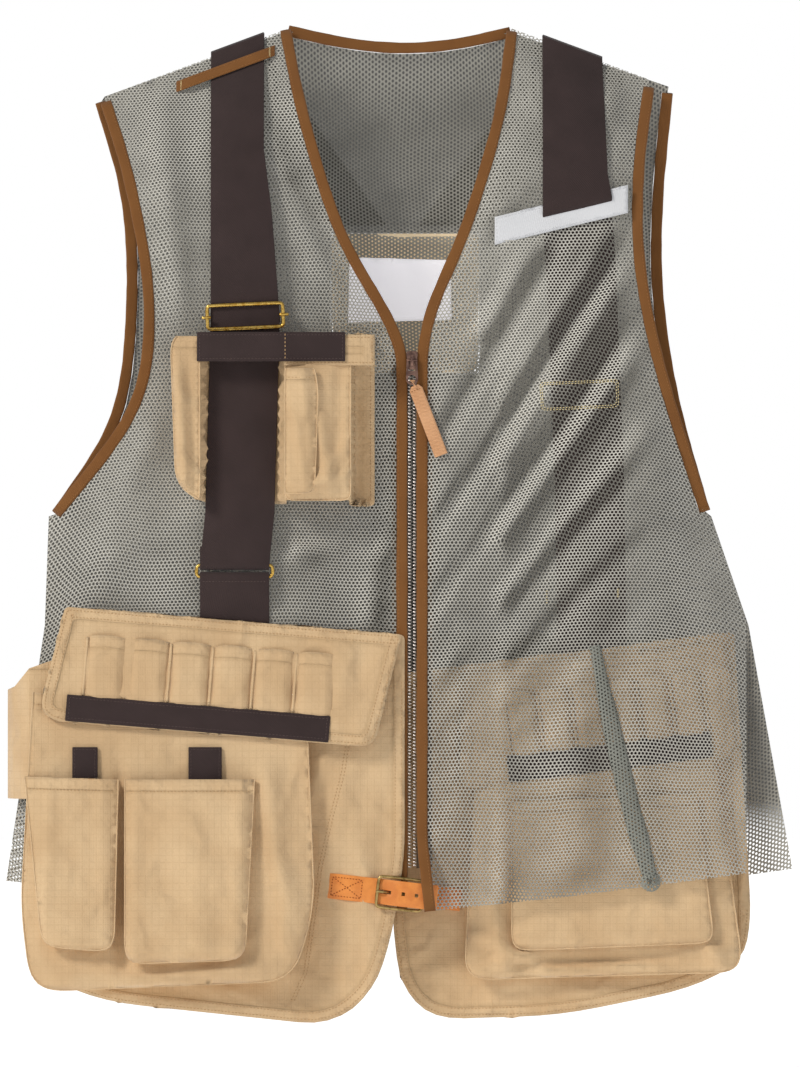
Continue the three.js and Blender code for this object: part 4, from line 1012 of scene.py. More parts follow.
def sewn_border(made, source, inset, thread="khaki", body="vest", sign=-1, loop=None, skip=None, **how):
    """A stitch row at an inset from a cloth's border; skip(x, z) leaves parts out."""
    ring = evenly(without_crumbs(loop or borders(source, sign)[0], 0.001), 0.003, True)
    n = len(ring)
    tree = skin(made)
    line = []
    turn = 1 if sum(ring[i - 1].x * ring[i].z - ring[i].x * ring[i - 1].z for i in range(n)) > 0 else -1
    for i in range(n + 1):
        a, b = ring[(i - 2) % n], ring[(i + 2) % n]
        run = Vector((b.x - a.x, 0, b.z - a.z)).normalized()
        inwards = Vector((-run.z, 0, run.x)) * turn
        spot = ring[i % n] + inwards * inset * MM
        if skip and skip(spot.x / MM, spot.z / MM):
            stitch_row(line, thread, body, facing=sign, **how)
            line = []
            continue
        hit = on_skin(tree, spot.x, spot.z, sign, SEWN_LIFT)
        if hit is not None:
            line.append(hit)
    stitch_row(line, thread, body, facing=sign, **how)


# %% [markdown]
# Bindings: a bias strip folded over each raw mesh edge and stitched close to its inner side.
# It puckers a little, so the section swells and shrinks slowly along the run.

# %% Bindings
BINDING_W = 8.4
BINDING_T = 2.9
EDGE_ROW = 2.4  # stitch row from the binding's middle, on the cloth's side
SUNK = 0.42  # how much of the binding's thickness lies behind the CAD's outer face


def bind(name, sign):
    line = middle_line(name, sign, max(24, int(length_of(borders(name, sign)[0]) / 2 / 0.006)))
    facing = Vector((0, sign, 0))
    line = [p - facing * BINDING_T * SUNK * MM for p in line]
    verts, faces = sweep(line, flat_round(BINDING_W * MM, BINDING_T * MM), facing)
    for i, v in enumerate(verts):
        p = line[i // ROUND_SIDES]
        v += (v - p) * 0.1 * soft(p.x, p.z, 0.012, 21)
    made = mesh_object(name + "_tape", verts, faces, binding_cloth)
    outward(made)
    joins(made, "vest", "binding_cloth", name)
    tree = skin(made)
    for side in (-1, 1) if name == "binding_neck_back" else (1,):
        row = []
        for before, here, after in zip(line, line[1:], line[2:]):
            across = (after - before).normalized().cross(facing).normalized()
            spot = here + across * side * EDGE_ROW * MM
            row.append(on_skin(tree, spot.x, spot.z, sign, 0.1 * MM))
        stitch_row(row, "brown", "vest", facing=sign, width=0.5)


BINDINGS = [("binding_neck_back", 1), ("binding_armhole_right_back", 1), ("binding_armhole_left_back", 1),
            ("binding_front_right", -1), ("binding_armhole_right_front", -1),
            ("binding_front_left", -1), ("binding_armhole_left_front", -1)]
for name, sign in BINDINGS:
    bind(name, sign)
print("bindings", len(BINDINGS))

# %% [markdown]
# Ripstop panels, patches and flaps are two layers of cloth turned and topstitched at the edge.
# They are cut like the mesh, with a real thickness and two rows of stitches along the border.

# %% Flat ripstop pieces
CLOTH = 1.5 * MM
TOP_ROWS = (2.2, 7.2)  # where the two topstitch rows lie inside the border, in millimetres


def gentle(seed, depth=1.2, size=0.06):
    def fold(x, z, away):
        held = min(1.0, away / 0.012)
        return (held * MM * (depth * soft(x, z, size, seed) + 0.5 * depth * crumple(x, z, size, seed + 7)
                             + 0.35 * depth * soft(x, z, 0.018, seed + 1))
                + 0.25 * MM * soft(x, z, 0.009, seed + 2))
    return fold


def with_creases(fold, lines):
    def folded(x, z, away):
        return fold(x, z, away) + min(1.0, away / 0.006) * sum(crease(x, z, line) for line in lines)
    return folded


def sew_in(made, body, source, sign=-1, skip=None):
    """Puts a turned ripstop piece on its body and topstitches its border twice."""
    joins(made, body, "ripstop", source)
    for inset in TOP_ROWS:
        sewn_border(made, source, inset, body=body, sign=sign, skip=skip)


PANEL_CREASES = [
    (-58, -530, -92, -620, 7, 2.6), (-92, -620, -96, -690, 8, 2.0), (-38, -520, -60, -640, 12, 1.6),
    (-30, -600, -20, -690, 9, 1.5), (-150, -700, -70, -722, 8, 1.8), (-40, -470, -20, -520, 9, 1.6),
    (-230, -705, -130, -718, 6, 1.5), (-8, -560, -18, -640, 6, -1.0), (-60, -690, -30, -720, 9, -1.4),
]
panel_right = cut_cloth("right_panel_cloth", "panel_right", khaki, 0.0045,
                        fold=with_creases(gentle(31, 1.6), PANEL_CREASES), thick=CLOTH)
press(panel_right, "panel_right", ["flap_right"], 0.6)
sew_in(panel_right, "vest", "panel_right", skip=lambda x, z: z > -470)
PRINCESS_SEAM = [(-38, -505), (-44, -540), (-53, -575), (-61, -612), (-66, -650), (-72, -690), (-82, -712)]
for aside in (0, 2.4):
    sewn_line(panel_right, [(x + aside, z) for x, z in PRINCESS_SEAM])
panel_left = cut_cloth("left_panel_cloth", "panel_left", khaki, 0.006, fold=with_creases(gentle(35, 1.6), [
    (40, -690, 200, -712, 7, 1.6), (16, -660, 30, -700, 8, 1.6)]), thick=CLOTH)
sew_in(panel_left, "vest", "panel_left", skip=lambda x, z: z > -640)
back_patch = cut_cloth("back_patch_cloth", "back_patch", khaki_lit, 0.006, 1,
                       fold=gentle(37, 0.8), thick=CLOTH)
sew_in(back_patch, "vest", "back_patch", 1)
rear_panel = cut_cloth("rear_panel_cloth", "rear_panel", khaki, 0.008, 1, fold=with_creases(gentle(38, 1.5), [
    (-200, -500, -90, -590, 12, 1.5), (120, -470, 200, -600, 12, 1.5)]), thick=CLOTH)
sew_in(rear_panel, "vest", "rear_panel", 1)
label = cut_cloth("blank_care_label", "care_label", label_cloth, 0.004,
                  fold=gentle(39, 0.5, 0.03), thick=0.4 * MM)
joins(label, "vest", "label_cloth", "care_label")
print("flat pieces cut")

# %% [markdown]
# Bellows pockets: a front piece, and a pleated gusset that runs down one side, along the bottom
# and up the other, so the pocket can swell. The mouth stays open and sags forward between its
# bar tacks. The front is cut from the CAD front face; the gusset is swept from its border back
# to the cloth behind, folded in like a bellows.

# %% Bellows pockets
def mouth_and_sides(loop):
    """Splits a pocket front's border into its mouth edge and the sewn path round the bottom."""
    n = len(loop)
    left = max(range(n), key=lambda i: 2 * loop[i].z - loop[i].x)
    right = max(range(n), key=lambda i: 2 * loop[i].z + loop[i].x)
    one = [loop[(left + k) % n] for k in range((right - left) % n + 1)]
    other = [loop[(left - k) % n] for k in range((left - right) % n + 1)]
    return (one, other) if length_of(one, False) < length_of(other, False) else (other, one)


def gusset(path, behind, pleat, seed):
    """The pleated side strip from the pocket front's border back to the cloth behind it."""
    path = evenly(path, 0.004)
    centre = sum(path, Vector()) / len(path)
    verts, rows = [], 9
    for i, p in enumerate(path):
        ahead = path[min(i + 1, len(path) - 1)] - path[max(i - 1, 0)]
        inwards = Vector((-ahead.z, 0, ahead.x)).normalized()
        if inwards.dot(centre - p) < 0:
            inwards = -inwards
        back = behind(p.x, p.z)
        for r in range(rows):
            t = r / (rows - 1)
            rough = 0.7 + 0.5 * soft(p.x, p.z, 0.02, seed) + 0.35 * crumple(p.x, p.z, 0.02, seed)
            push = pleat * MM * rough * math.sin(math.pi * t) ** 1.4
            spot = Vector((p.x, p.y + (back - p.y) * t, p.z)) + inwards * push
            spot.y += 0.6 * MM * soft(p.x, p.z, 0.012, seed + r) * math.sin(math.pi * t)
            verts.append(spot)
    return verts, strip_faces(len(path), rows, closed=False)


def cloth_behind(node_name, gap=0.3):
    """Depth function of the cloth that a pocket stands on."""
    tree = BVHTree.FromPolygons(*outward_faces(node_name, -1))
    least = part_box(node_name)[0].y

    def depth(x, z):
        hit = tree.ray_cast(Vector((x, -1, z)), Vector((0, 1, 0)))[0]
        if hit is None:
            hit = tree.find_nearest(Vector((x, least, z)))[0]
        return hit.y - gap * MM
    return depth


SAG_REACH = 0.05


def sag(mouth, depth):
    """The mouth's forward sag: most at the middle of the mouth, gone at its ends and lower down."""
    a, b = mouth[0], mouth[-1]
    width = abs(b.x - a.x)
    left = min(a.x, b.x)

    def lean(x, z):
        across = min(1.0, max(0.0, (x - left) / width))
        top = a.z + (b.z - a.z) * ((x - a.x) / (b.x - a.x) if abs(b.x - a.x) > 1e-6 else 0)
        return depth * MM * math.sin(math.pi * across) ** 0.8 * math.exp(-max(0.0, top - z) / SAG_REACH)
    return lean


def bellows(name, source, behind, puff, pleat, seed, lines=(), mouth_sag=2.0, step=0.0042, body="vest",
            loop=None, hem_rows=(9.0,), calm_top=0.0, stands_for=None):
    """One pocket: its front, gusset and edge seam; calm_top keeps the cloth flat below the mouth."""
    loop = loop or borders(source)[0]
    mouth, sides = mouth_and_sides(loop)
    lean = sag(mouth, mouth_sag)

    def fold(x, z, away):
        held = min(1.0, away / 0.02)
        round_off = math.sin(held * math.pi / 2)
        near = min(1.0, away / 0.004)
        waves = 1.1 * soft(x, z, 0.035, seed) + 0.5 * soft(x, z, 0.014, seed + 1)
        tug = 0.5 * soft(x, z, 0.007, seed + 2) * math.exp(-away / 0.008)
        below = max(0.0, (mouth[0].z + mouth[-1].z) / 2 - z)
        free = min(1.0, below / calm_top) ** 2 if calm_top else 1.0
        rough = math.exp(-away / 0.024) * 1.5 + 0.45
        waves += rough * crumple(x, z, 0.045, seed + 11)
        return free * (MM * (puff * round_off + waves * round_off + tug * near)
                       + near * (lean(x, z) + sum(crease(x, z, line) for line in lines)))

    front = cut_cloth(name, source, khaki, step, fold=fold, loops=[loop], held_by=sides, hem_line=mouth)
    verts, faces = gusset(sides, behind, pleat, seed)
    side = mesh_object(name + "_gusset", verts, faces, khaki)
    store(side, "edge", [0.05] * len(verts))
    merge(front, [side])
    thicken(front, 0.9 * MM)
    joins(front, body, "ripstop", *([source] if stands_for is None else stands_for))
    ridge = smooth_line(evenly(sides, 0.004), 2)
    joins(swept(name + "_edge_seam", khaki, [p + Vector((0, -0.1 * MM, 0)) for p in ridge],
                flat_round(1.0 * MM, 1.2 * MM, 8, 0.8)), body, "ripstop")
    for row in hem_rows:
        tree = skin(front)
        line = [on_skin(tree, p.x, p.z - row * MM, -1, SEWN_LIFT) for p in evenly(mouth, 0.003)]
        stitch_row(line[1:-1], "khaki", body)
    return front


def merge(made, others):
    """Joins other objects' meshes into the first one."""
    with bpy.context.temp_override(active_object=made, object=made, selected_objects=[made] + others,
                                   selected_editable_objects=[made] + others):
        bpy.ops.object.join()
    return made


BIG_CREASES = [
    (-100, -545, -84, -660, 7, 3.2), (-88, -500, -78, -560, 9, -2.2), (-115, -690, -250, -696, 6, 2.6),
    (-262, -560, -268, -660, 6, 2.0), (-210, -520, -208, -680, 5, -3.0), (-240, -500, -120, -508, 8, 1.8),
    (-90, -610, -70, -660, 6, 1.8), (-200, -698, -110, -684, 5, 2.2), (-255, -530, -215, -512, 6, 1.5),
]
POCKETS = [  # name, CAD node, node behind, gap, puff, pleat, seed, creases, sag, step, calm top
    ("right_bellows_pocket", "pocket_big_right", "panel_right", 0.3, 3.5, 6.5, 51, BIG_CREASES,
     0.0, 0.0042, 0.06),
    ("pocket_small_right_outer_bellows", "pocket_small_right_outer", "pocket_big_right", 0.6, 2.6, 4.0, 61, [
        (-262, -560, -266, -650, 4, 1.5), (-222, -555, -220, -650, 5, 1.6),
        (-250, -668, -225, -672, 5, 1.6)], 2.0, 0.0042, 0.0),
    ("pocket_small_right_inner_bellows", "pocket_small_right_inner", "pocket_big_right", 0.6, 3.0, 4.0, 66, [
        (-198, -560, -200, -668, 5, 1.8), (-118, -560, -122, -668, 6, 2.2),
        (-190, -676, -130, -672, 6, 2.0), (-160, -550, -150, -660, 14, 1.6)], 2.0, 0.0042, 0.0),
    ("left_bellows_pocket", "pocket_big_left", "panel_left", 0.3, 3.0, 6.0, 71, [
        (60, -664, 100, -682, 5, 4.0), (70, -640, 80, -690, 6, 3.0), (95, -683, 225, -679, 3.5, -4.0),
        (110, -692, 240, -676, 4, 3.0), (225, -660, 244, -690, 5, 3.0),
        (62, -690, 96, -676, 4, 3.0)], 2.0, 0.0045, 0.0),
    ("left_small_pocket_bellows", "pocket_small_left", "pocket_big_left", 0.6, 2.0, 4.0, 75, [
        (100, -668, 220, -662, 5, 1.5)], 1.5, 0.005, 0.0),
]
pockets = {
    source: bellows(name, source, cloth_behind(under, gap), puff, pleat, seed, lines,
                    drop, step, calm_top=calm)
    for name, source, under, gap, puff, pleat, seed, lines, drop, step, calm in POCKETS}
print("pockets", len(pockets))

# %% [markdown]
# The flap hangs over the pockets from the panel's top edge and lifts on that edge. Six tool loops
# are one strip of cloth, arched up between vertical seams and open above and below, and a dark
# webbing band covers their feet. The loops are built in the flap's own slanted frame, taken
# from the flap's solid: X along its top edge, Y into the cloth, Z up its face.

# %% Flap frame
def slanted_frame(source):
    loop = borders(source)[0]
    left = max(loop, key=lambda p: 2 * p.z - p.x)
    right = max(loop, key=lambda p: 2 * p.z + p.x)
    centre = sum(loop, Vector()) / len(loop)
    x_axis = (right - left).normalized()
    down = centre - (left + right) / 2
    z_axis = -(down - x_axis * down.dot(x_axis)).normalized()
    y_axis = z_axis.cross(x_axis)
    turn = Matrix((x_axis, y_axis, z_axis)).transposed().to_4x4()
    turn.translation = left
    return turn


def arched_loops(name, source, frame_of, x0, pitch, rise, body, seed):
    """Six cloth arches standing on a flap, with a sewn foot between each pair."""
    place = slanted_frame(frame_of)
    top, tall, foot = -20.0, 47.0, 2.4
    verts, faces = [], []
    across, up = 15, 13
    for k in range(6):
        start = len(verts)
        for j in range(up):
            t = j / (up - 1)
            for i in range(across):
                u = i / (across - 1)
                arch = min(1.0, (1 - abs(2 * u - 1)) * 2.2) ** 0.8
                bow = 0.9 - 0.2 * math.cos(math.pi * t) + 0.14 * soft(k + u, t, 0.9, seed)
                pull = 1.1 * math.sin(math.pi * u) * (1 - t) ** 3
                x = x0 + k * pitch + foot / 2 + u * (pitch - foot) + 0.5 * math.sin(math.pi * t) * (0.5 - u)
                arch *= min(1.0, 0.3 + (1 - t) * 3.0)
                y = -0.4 - rise * arch * bow - 0.3 * soft(k * 3 + u * 2, t * 2, 0.5, seed + 1)
                verts.append(place @ Vector((x * MM, y * MM, (top + pull - t * tall) * MM)))
        for j in range(up - 1):
            for i in range(across - 1):
                a = start + j * across + i
                faces.append((a, a + across, a + across + 1, a + 1))
    made = mesh_object(name, verts, faces, khaki)
    store(made, "edge", [((n // across) % up) / (up - 1) * tall * MM for n in range(len(verts))])
    thicken(made, 1.1 * MM)
    joins(made, body, "ripstop", source)
    for k in range(7):
        x = x0 + k * pitch
        line = [place @ Vector((x * MM, -0.9 * MM, (top - 1 - t * (tall - 3) / 12) * MM)) for t in range(13)]
        stitch_row(line, "khaki", body)
        bar_tack(line[0], line[0].lerp(line[-1], 0.09), "khaki", body, 5, 2.2)
        foot_strip = swept(f"{name}_foot_{k + 1}", khaki, line,
                           flat_round((foot - 0.5) * MM, 0.9 * MM, 8, 0.6))
        joins(foot_strip, body, "ripstop")
    return made


FLAP_CREASES = [(-200, -430, -190, -500, 16, 1.4), (-50, -445, -30, -520, 12, 1.6),
                (-120, -430, -90, -450, 14, 1.0),
                (-225, -470, -215, -495, 9, 1.2), (-32, -470, -40, -525, 7, -1.2)]
FLAP_CLOTH = 1.3 * MM
flap = cut_cloth("right_flap_cloth", "flap_right", khaki, 0.0042,
                 fold=with_creases(gentle(81, 1.1), FLAP_CREASES), thick=FLAP_CLOTH)
press(flap, "flap_right", ["flap_band_right"], 0.15)
sew_in(flap, "flap", "flap_right")
arched_loops("right_tool_loops", "tool_loops_right", "flap_right", 18, 31.5, 4.6, "flap", 83)
flap_left = cut_cloth("left_flap_cloth", "flap_left", khaki, 0.006, fold=gentle(85, 1.0), thick=FLAP_CLOTH)
sew_in(flap_left, "vest", "flap_left")
arched_loops("left_tool_loops", "tool_loops_left", "flap_left", 28, 25, 6.5, "vest", 87)

# %% [markdown]
# Webbing keeps the CAD solid's run and only gains soft edges and stitches, so it is made by
# refining a copy of the solid: doubled corners are merged, flat faces joined, edges rounded.

# %% Webbing and straps
def refined(name, source, material, body, slot, rounding=0.5, segments=2, divide=0):
    """A copy of a CAD solid with rounded edges, standing for it."""
    data = frame["nodes"][source].data.copy()
    data.materials.clear()
    data.materials.append(material)
    made = bpy.data.objects.new(name, data)
    scene.collection.objects.link(made)
    shape = bmesh.new()
    shape.from_mesh(data)
    bmesh.ops.remove_doubles(shape, verts=shape.verts, dist=2e-6)
    bmesh.ops.join_triangles(shape, faces=shape.faces, angle_face_threshold=0.05, angle_shape_threshold=3.1)
    shape.to_mesh(data)
    shape.free()
    if divide:
        layer = made.modifiers.new("smooth", "SUBSURF")
        layer.levels = divide
    else:
        layer = made.modifiers.new("edges", "BEVEL")
        layer.width = rounding * MM
        layer.segments = segments
        layer.limit_method = "ANGLE"
        layer.angle_limit = math.radians(40)
    settle(made)
    made.data.shade_smooth()
    if not divide:
        made.data.set_sharp_from_angle(angle=math.radians(35))
    return joins(made, body, slot, source)


WEB_PIECES = [("strap_right", "vest"), ("strap_left", "vest"), ("strap_back", "vest"), ("ring_tab", "vest"),
              ("pull_tab_right_outer", "vest"), ("pull_tab_right_inner", "vest"), ("flap_band_left", "vest"),
              ("flap_band_right", "flap"), ("pouch_keeper", "pouch")]
web = {source: refined(source + "_webbing", source, webbing, body, "webbing", 0.6)
       for source, body in WEB_PIECES}


LAY_GAP = 0.7 * MM


def lay_on(made, under):
    """Moves a strip forward wherever the cloth under it stands higher."""
    tree = skin(under)
    deep = max(v.co.y for v in made.data.vertices)
    for v in made.data.vertices:
        hit = on_skin(tree, v.co.x, v.co.z)
        if hit is not None:
            v.co.y += min(0.0, hit.y - LAY_GAP - deep)


for source in ("pull_tab_right_outer", "pull_tab_right_inner"):
    lay_on(web[source], pockets["pocket_big_right"])
for source, body, inset in (
        ("flap_band_right", "flap", 2.4), ("pouch_keeper", "pouch", 2.2),
        ("pull_tab_right_outer", "vest", 2.0), ("pull_tab_right_inner", "vest", 2.0)):
    sewn_border(web[source], source, inset, "dark", body)
sewn_line(web["pouch_keeper"], [(-86, -211), (-86, -231)], "khaki", "pouch", width=0.7)
tab_low, tab_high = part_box("ring_tab")
TAB_SEAM_Z = -397
sewn_line(web["ring_tab"], [(tab_low.x / MM + 2, TAB_SEAM_Z), (tab_high.x / MM - 2, TAB_SEAM_Z)],
          "dark", width=0.6, pitch=2.4)
print("webbing pieces", len(web))

# %% [markdown]
# Short brown tapes are sewn over the shoulder seams, with pale bar tacks at their ends. White
# tape surrounds the slit where the wearer's-left strap goes inside the mesh.

# %% Shoulder and slit tapes
for source, sign in (("shoulder_tape_right", -1), ("shoulder_tape_left", 1)):
    tape = refined(source + "_cloth", source, binding_cloth, "vest", "binding_cloth", 0.5)
    sewn_border(tape, source, 1.5, "brown", "vest", sign)
    tree = skin(tape)
    low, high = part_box(source)
    for x in (low.x + 0.004, high.x - 0.004):
        spots = [on_skin(tree, x, low.z + (high.z - low.z) * (k / 40), sign, 0.3 * MM) for k in range(41)]
        spots = [p for p in spots if p is not None]
        bar_tack(spots[0], spots[-1], "cream", "vest", 8, 1.5, sign)
slit_outline = max(borders("slit_tape"), key=length_of)
slit = cut_cloth("slit_tape_cloth", "slit_tape", white_tape, 0.003, loops=[slit_outline],
                 fold=lambda x, z, away: 0.0008 + 0.0002 * soft(x, z, 0.03, 87), thick=0.5 * MM)
joins(slit, "vest", "white_tape", "slit_tape")
sewn_border(slit, "slit_tape", 1.5, "white", loop=slit_outline, width=0.4)
print("tapes sewn")

# %% [markdown]
# The chest pouch is one small bag under the strap: a back, a puffed gusset pocket on the left,
# a lane where the strap runs, a second pocket on the right with a smaller one on its front, and
# a flat strip at the right edge. Each face of the stepped CAD solid gives one pattern piece.

# %% Chest pouch
faces_of_pouch = borders("pouch_body")
POUCH_BACK_Y = -0.0435
POUCH_FACE_Y = -0.0665  # the right pocket's front, under the smaller pocket


def pouch_face(x_mm, y_below):
    """The pouch border whose middle is nearest x and whose depth is in front of y_below."""
    found = [loop for loop in faces_of_pouch if loop[0].y < y_below * MM]
    return min(found, key=lambda loop: abs(sum(p.x for p in loop) / len(loop) - x_mm * MM))


def pouch_cloth(name, source, material, step, body_nodes, **how):
    """One flat piece of the pouch."""
    made = cut_cloth(name, source, material, step, **how)
    return joins(made, "pouch", "ripstop", *body_nodes)


pouch_cloth("pouch_back_cloth", "pouch_body", khaki_shaded, 0.005, ["pouch_body"], sign=1,
            fold=gentle(90, 0.4), thick=1.0 * MM)
for name, middle, pleat, seed, drop, lines in (
        ("pouch_left_pocket", -160, 5.5, 91, 1.0, [
            (-168, -225, -160, -325, 4, 2.8), (-158, -225, -156, -330, 4, -2.2),
            (-168, -300, -152, -312, 5, 2.0), (-170, -250, -158, -262, 5, 1.6)]),
        ("pouch_right_pocket", -62, 5.0, 95, 0.0, [
            (-66, -250, -52, -325, 5, 2.6), (-45, -240, -48, -325, 5, -2.0),
            (-80, -326, -42, -318, 5, 2.4), (-62, -322, -44, -300, 4, 1.8)])):
    bellows(name, "pouch_body", lambda x, z: POUCH_BACK_Y, 2.5, pleat, seed, lines, drop, 0.0035, "pouch",
            loop=pouch_face(middle, -60), calm_top=0.03, hem_rows=(), stands_for=[])
bellows("pouch_front_pocket_cloth", "pouch_front_pocket", lambda x, z: POUCH_FACE_Y, 2.0, 2.5, 98, [
    (-80, -262, -70, -325, 4, 1.6), (-72, -250, -66, -300, 4, 1.8), (-82, -322, -68, -330, 4, 1.4)],
    2.0, 0.003, "pouch", hem_rows=(7.0,))
pouch_cloth("pouch_strap_lane", "pouch_body", khaki_shaded, 0.005, [], loops=[pouch_face(-118, -48)],
            fold=gentle(101, 0.3), thick=1.0 * MM)
edge_faces = (loop for loop in faces_of_pouch if max(p.x for p in loop) > -0.03)
side_strip = pouch_cloth("pouch_side_strip", "pouch_body", khaki, 0.0035, [],
                         loops=[max(edge_faces, key=length_of)], fold=gentle(103, 0.5, 0.03), thick=1.2 * MM)
for x in (-36, -34, -22):
    sewn_line(side_strip, [(x, -213), (x, -337)], "khaki", "pouch")
flap_strip = pouch_cloth("pouch_flap_strip_cloth", "pouch_flap_strip", khaki, 0.0035, ["pouch_flap_strip"],
                         fold=gentle(105, 0.12, 0.03), thick=1.2 * MM)
sewn_border(flap_strip, "pouch_flap_strip", 2.0, body="pouch")
print("pouch pieces sewn")

# %% [markdown]
# Metalwork is bent wire. The CAD wires are eight-sided, so a smoothing pass makes them round.

# %% Brass and buckle
for source, body, look, slot in (
        ("adjuster_frame", "adjuster", brass, "brass"), ("adjuster_bar", "adjuster", brass, "brass"),
        ("strap_ring", "vest", brass, "brass"), ("buckle_frame", "vest", antique_brass, "antique_brass")):
    refined(source + "_wire", source, look, body, slot, divide=2)
refined("buckle_prong_wire", "buckle_prong", antique_brass, "prong", "antique_brass", 0.35, 3)
print("metal in place")

# %% [markdown]
# The closing strap is one thickness of bridle leather with rounded edges, punched holes and a
# box of stitches with a cross where it is sewn to the panel.

# %% Leather strap
BUCKLE_TILT = math.radians(6.5)
buckle_low, buckle_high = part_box("buckle_frame")
buckle_middle = (buckle_low + buckle_high) / 2
strap_leather_piece = refined("closing_strap", "leather_strap", leather, "vest", "leather", 0.45, 3)
refined("buckle_chape_leather", "buckle_chape", leather, "vest", "leather", 0.45, 3)


def on_strap(x, z):
    """A point in the strap's own slanted frame, from the buckle's middle, in millimetres."""
    c, s = math.cos(BUCKLE_TILT), math.sin(BUCKLE_TILT)
    return (buckle_middle.x / MM + x * c + z * s, buckle_middle.z / MM - x * s + z * c)


BOX = [(-51.5, -7), (-51.5, 7), (-29, 7), (-29, -7)]
sewn_line(strap_leather_piece, [on_strap(*p) for p in BOX + BOX[:1]], "tan", pitch=2.2, width=0.7)
for a, b in ((0, 2), (1, 3)):
    sewn_line(strap_leather_piece, [on_strap(*BOX[a]), on_strap(*BOX[b])], "tan", pitch=2.2, width=0.7)
print("strap at", [round(v, 3) for v in buckle_middle])

# %% [markdown]
# The zip: two rows of small cast teeth that pass each other, a bronzed slider, a ring pull and a
# ribbed grosgrain ribbon. The teeth stop just short of the middle, where the slider's web runs.

# %% Zip
TOOTH_PITCH = 2.5
teeth_low, teeth_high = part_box("zip_teeth_right")
zip_x = (teeth_high.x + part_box("zip_teeth_left")[0].x) / 2


def tooth(x_tip, x_root, z, depth_low, depth_high):
    """A tooth: a wedge with a rounded nose, wide at its root."""
    points = []
    for x, half in ((x_root, 0.62), (x_root + (x_tip - x_root) * 0.6, 0.62), (x_tip, 0.36)):
        for y, z_off in ((depth_low, -half), (depth_low, half), (depth_high, half), (depth_high, -half)):
            shrink = 0.00025 if x == x_tip else 0.0
            points.append(Vector((x, y + (shrink if y == depth_low else -shrink), z + z_off * MM)))
    return points, [(0, 1, 2, 3), (11, 10, 9, 8)] + strip_faces(3, 4)


for side, sign, source in (("right", -1, "zip_teeth_right"), ("left", 1, "zip_teeth_left")):
    row = Batch()
    z = teeth_low.z + (0.0 if sign < 0 else TOOTH_PITCH * MM / 2) + 0.001
    while z < teeth_high.z - 0.001:
        row.add(*tooth(zip_x + sign * 0.55 * MM, zip_x + sign * 3.1 * MM, z,
                       teeth_low.y + 0.3 * MM, teeth_high.y - 0.3 * MM))
        z += TOOTH_PITCH * MM
    joins(row.build(f"zip_teeth_{side}_row", zip_metal), "vest", "zip_metal", source)
    refined(f"zip_tape_{side}_woven", f"zip_tape_{side}", zip_tape, "vest", "zip_tape", 0.2)
refined("zip_slider_body", "zip_slider", bronzed_metal, "slider", "bronzed_metal", 0.3, 3)
refined("zip_pull_ring", "zip_pull", bronzed_metal, "pull", "bronzed_metal", 0.25, 2)

ribbon_joint = next(j for j in frame["joints"] if j["name"] == "ribbon_swing")
hang_point = Vector(ribbon_joint["pos_m"])
RIBBON_LEAN = math.radians(21)
RIBBON_W, RIBBON_LONG, RIBBON_TOP, RIB = 10.2, 56.0, 5.4, 2.7
RIBBON_SIDES, RIBBON_STEPS = 12, 150
lean = Matrix.Translation(hang_point) @ Matrix.Rotation(-RIBBON_LEAN, 4, "Y")
verts = []
section = flat_round(1.0, 1.0, RIBBON_SIDES, 0.5)
for i in range(RIBBON_STEPS + 1):
    down = RIBBON_TOP + RIBBON_LONG * i / RIBBON_STEPS
    rib = 0.5 * abs(math.sin(math.pi * down / RIB)) - 0.2
    wide = RIBBON_W * (0.55 + 0.45 * min(1.0, (down - RIBBON_TOP) / 3.0))
    verts += [lean @ Vector((a * wide * MM, b * (2.0 + 2 * rib) * MM, -down * MM)) for a, b in section]
faces = strip_faces(RIBBON_STEPS + 1, RIBBON_SIDES, capped=True)
ribbon_piece = mesh_object("zip_ribbon_grosgrain", verts, faces, grosgrain)
outward(ribbon_piece)
joins(ribbon_piece, "ribbon", "grosgrain", "zip_ribbon")
bight = [lean @ Vector((0, y * MM, z * MM)) for y, z in (
    (-1.2, -7.5), (-1.75, -4.6), (-1.5, -2.2), (-0.7, -1.1),
    (0.6, -1.1), (1.1, -2.2), (1.2, -4.6), (0.9, -7.5))]
joins(swept("zip_ribbon_bight", grosgrain, smooth_line(evenly(bight, 0.0005), 4),
            flat_round(4.2 * MM, 0.7 * MM, 8, 0.6), Vector((0, 0, 1))), "ribbon", "grosgrain")
stitch_row([lean @ Vector((x * MM, -1.25 * MM, -9 * MM)) for x in (-4.2, 0, 4.2)],
           "brown", "ribbon", pitch=2.0)
print("zip teeth every", TOOTH_PITCH, "mm")

# %% [markdown]
# Sewing on the mesh itself: a box of cream stitches that holds the inner strap, two thread
# tacks, a long rolled dart that takes in the front's fullness, and the rosette that ends it.
# The dart is the same mesh rolled on itself, so it looks denser; its knit is painted darker for the shade
# between the layers.

# %% Dart, rosette and stitched box
left_skin = skin(mesh_pieces["mesh_front_left"])


def on_left(x, z, lift=0.4):
    return on_skin(left_skin, x * MM, z * MM, -1, lift * MM)


BOX_ON_MESH = [(106, -248), (162, -245.5), (163.5, -247), (164, -264), (162, -266), (108, -268.5),
               (106, -267), (105, -250), (106, -248)]
for grow in (0.0, 1.4):
    ring = [(x + (grow if x < 135 else -grow), z + (-grow if z > -257 else grow)) for x, z in BOX_ON_MESH]
    stitch_row([on_left(p.x / MM, p.z / MM, 0.5) for p in flat_line(ring, 0.003)],
               "cream", "vest", pitch=2.4, width=0.6)
for x, z0, z1 in ((110, -403, -414), (163.5, -402, -409)):
    bar_tack(on_left(x, z0), on_left(x, z1), "cream", "vest", 5, 1.6)

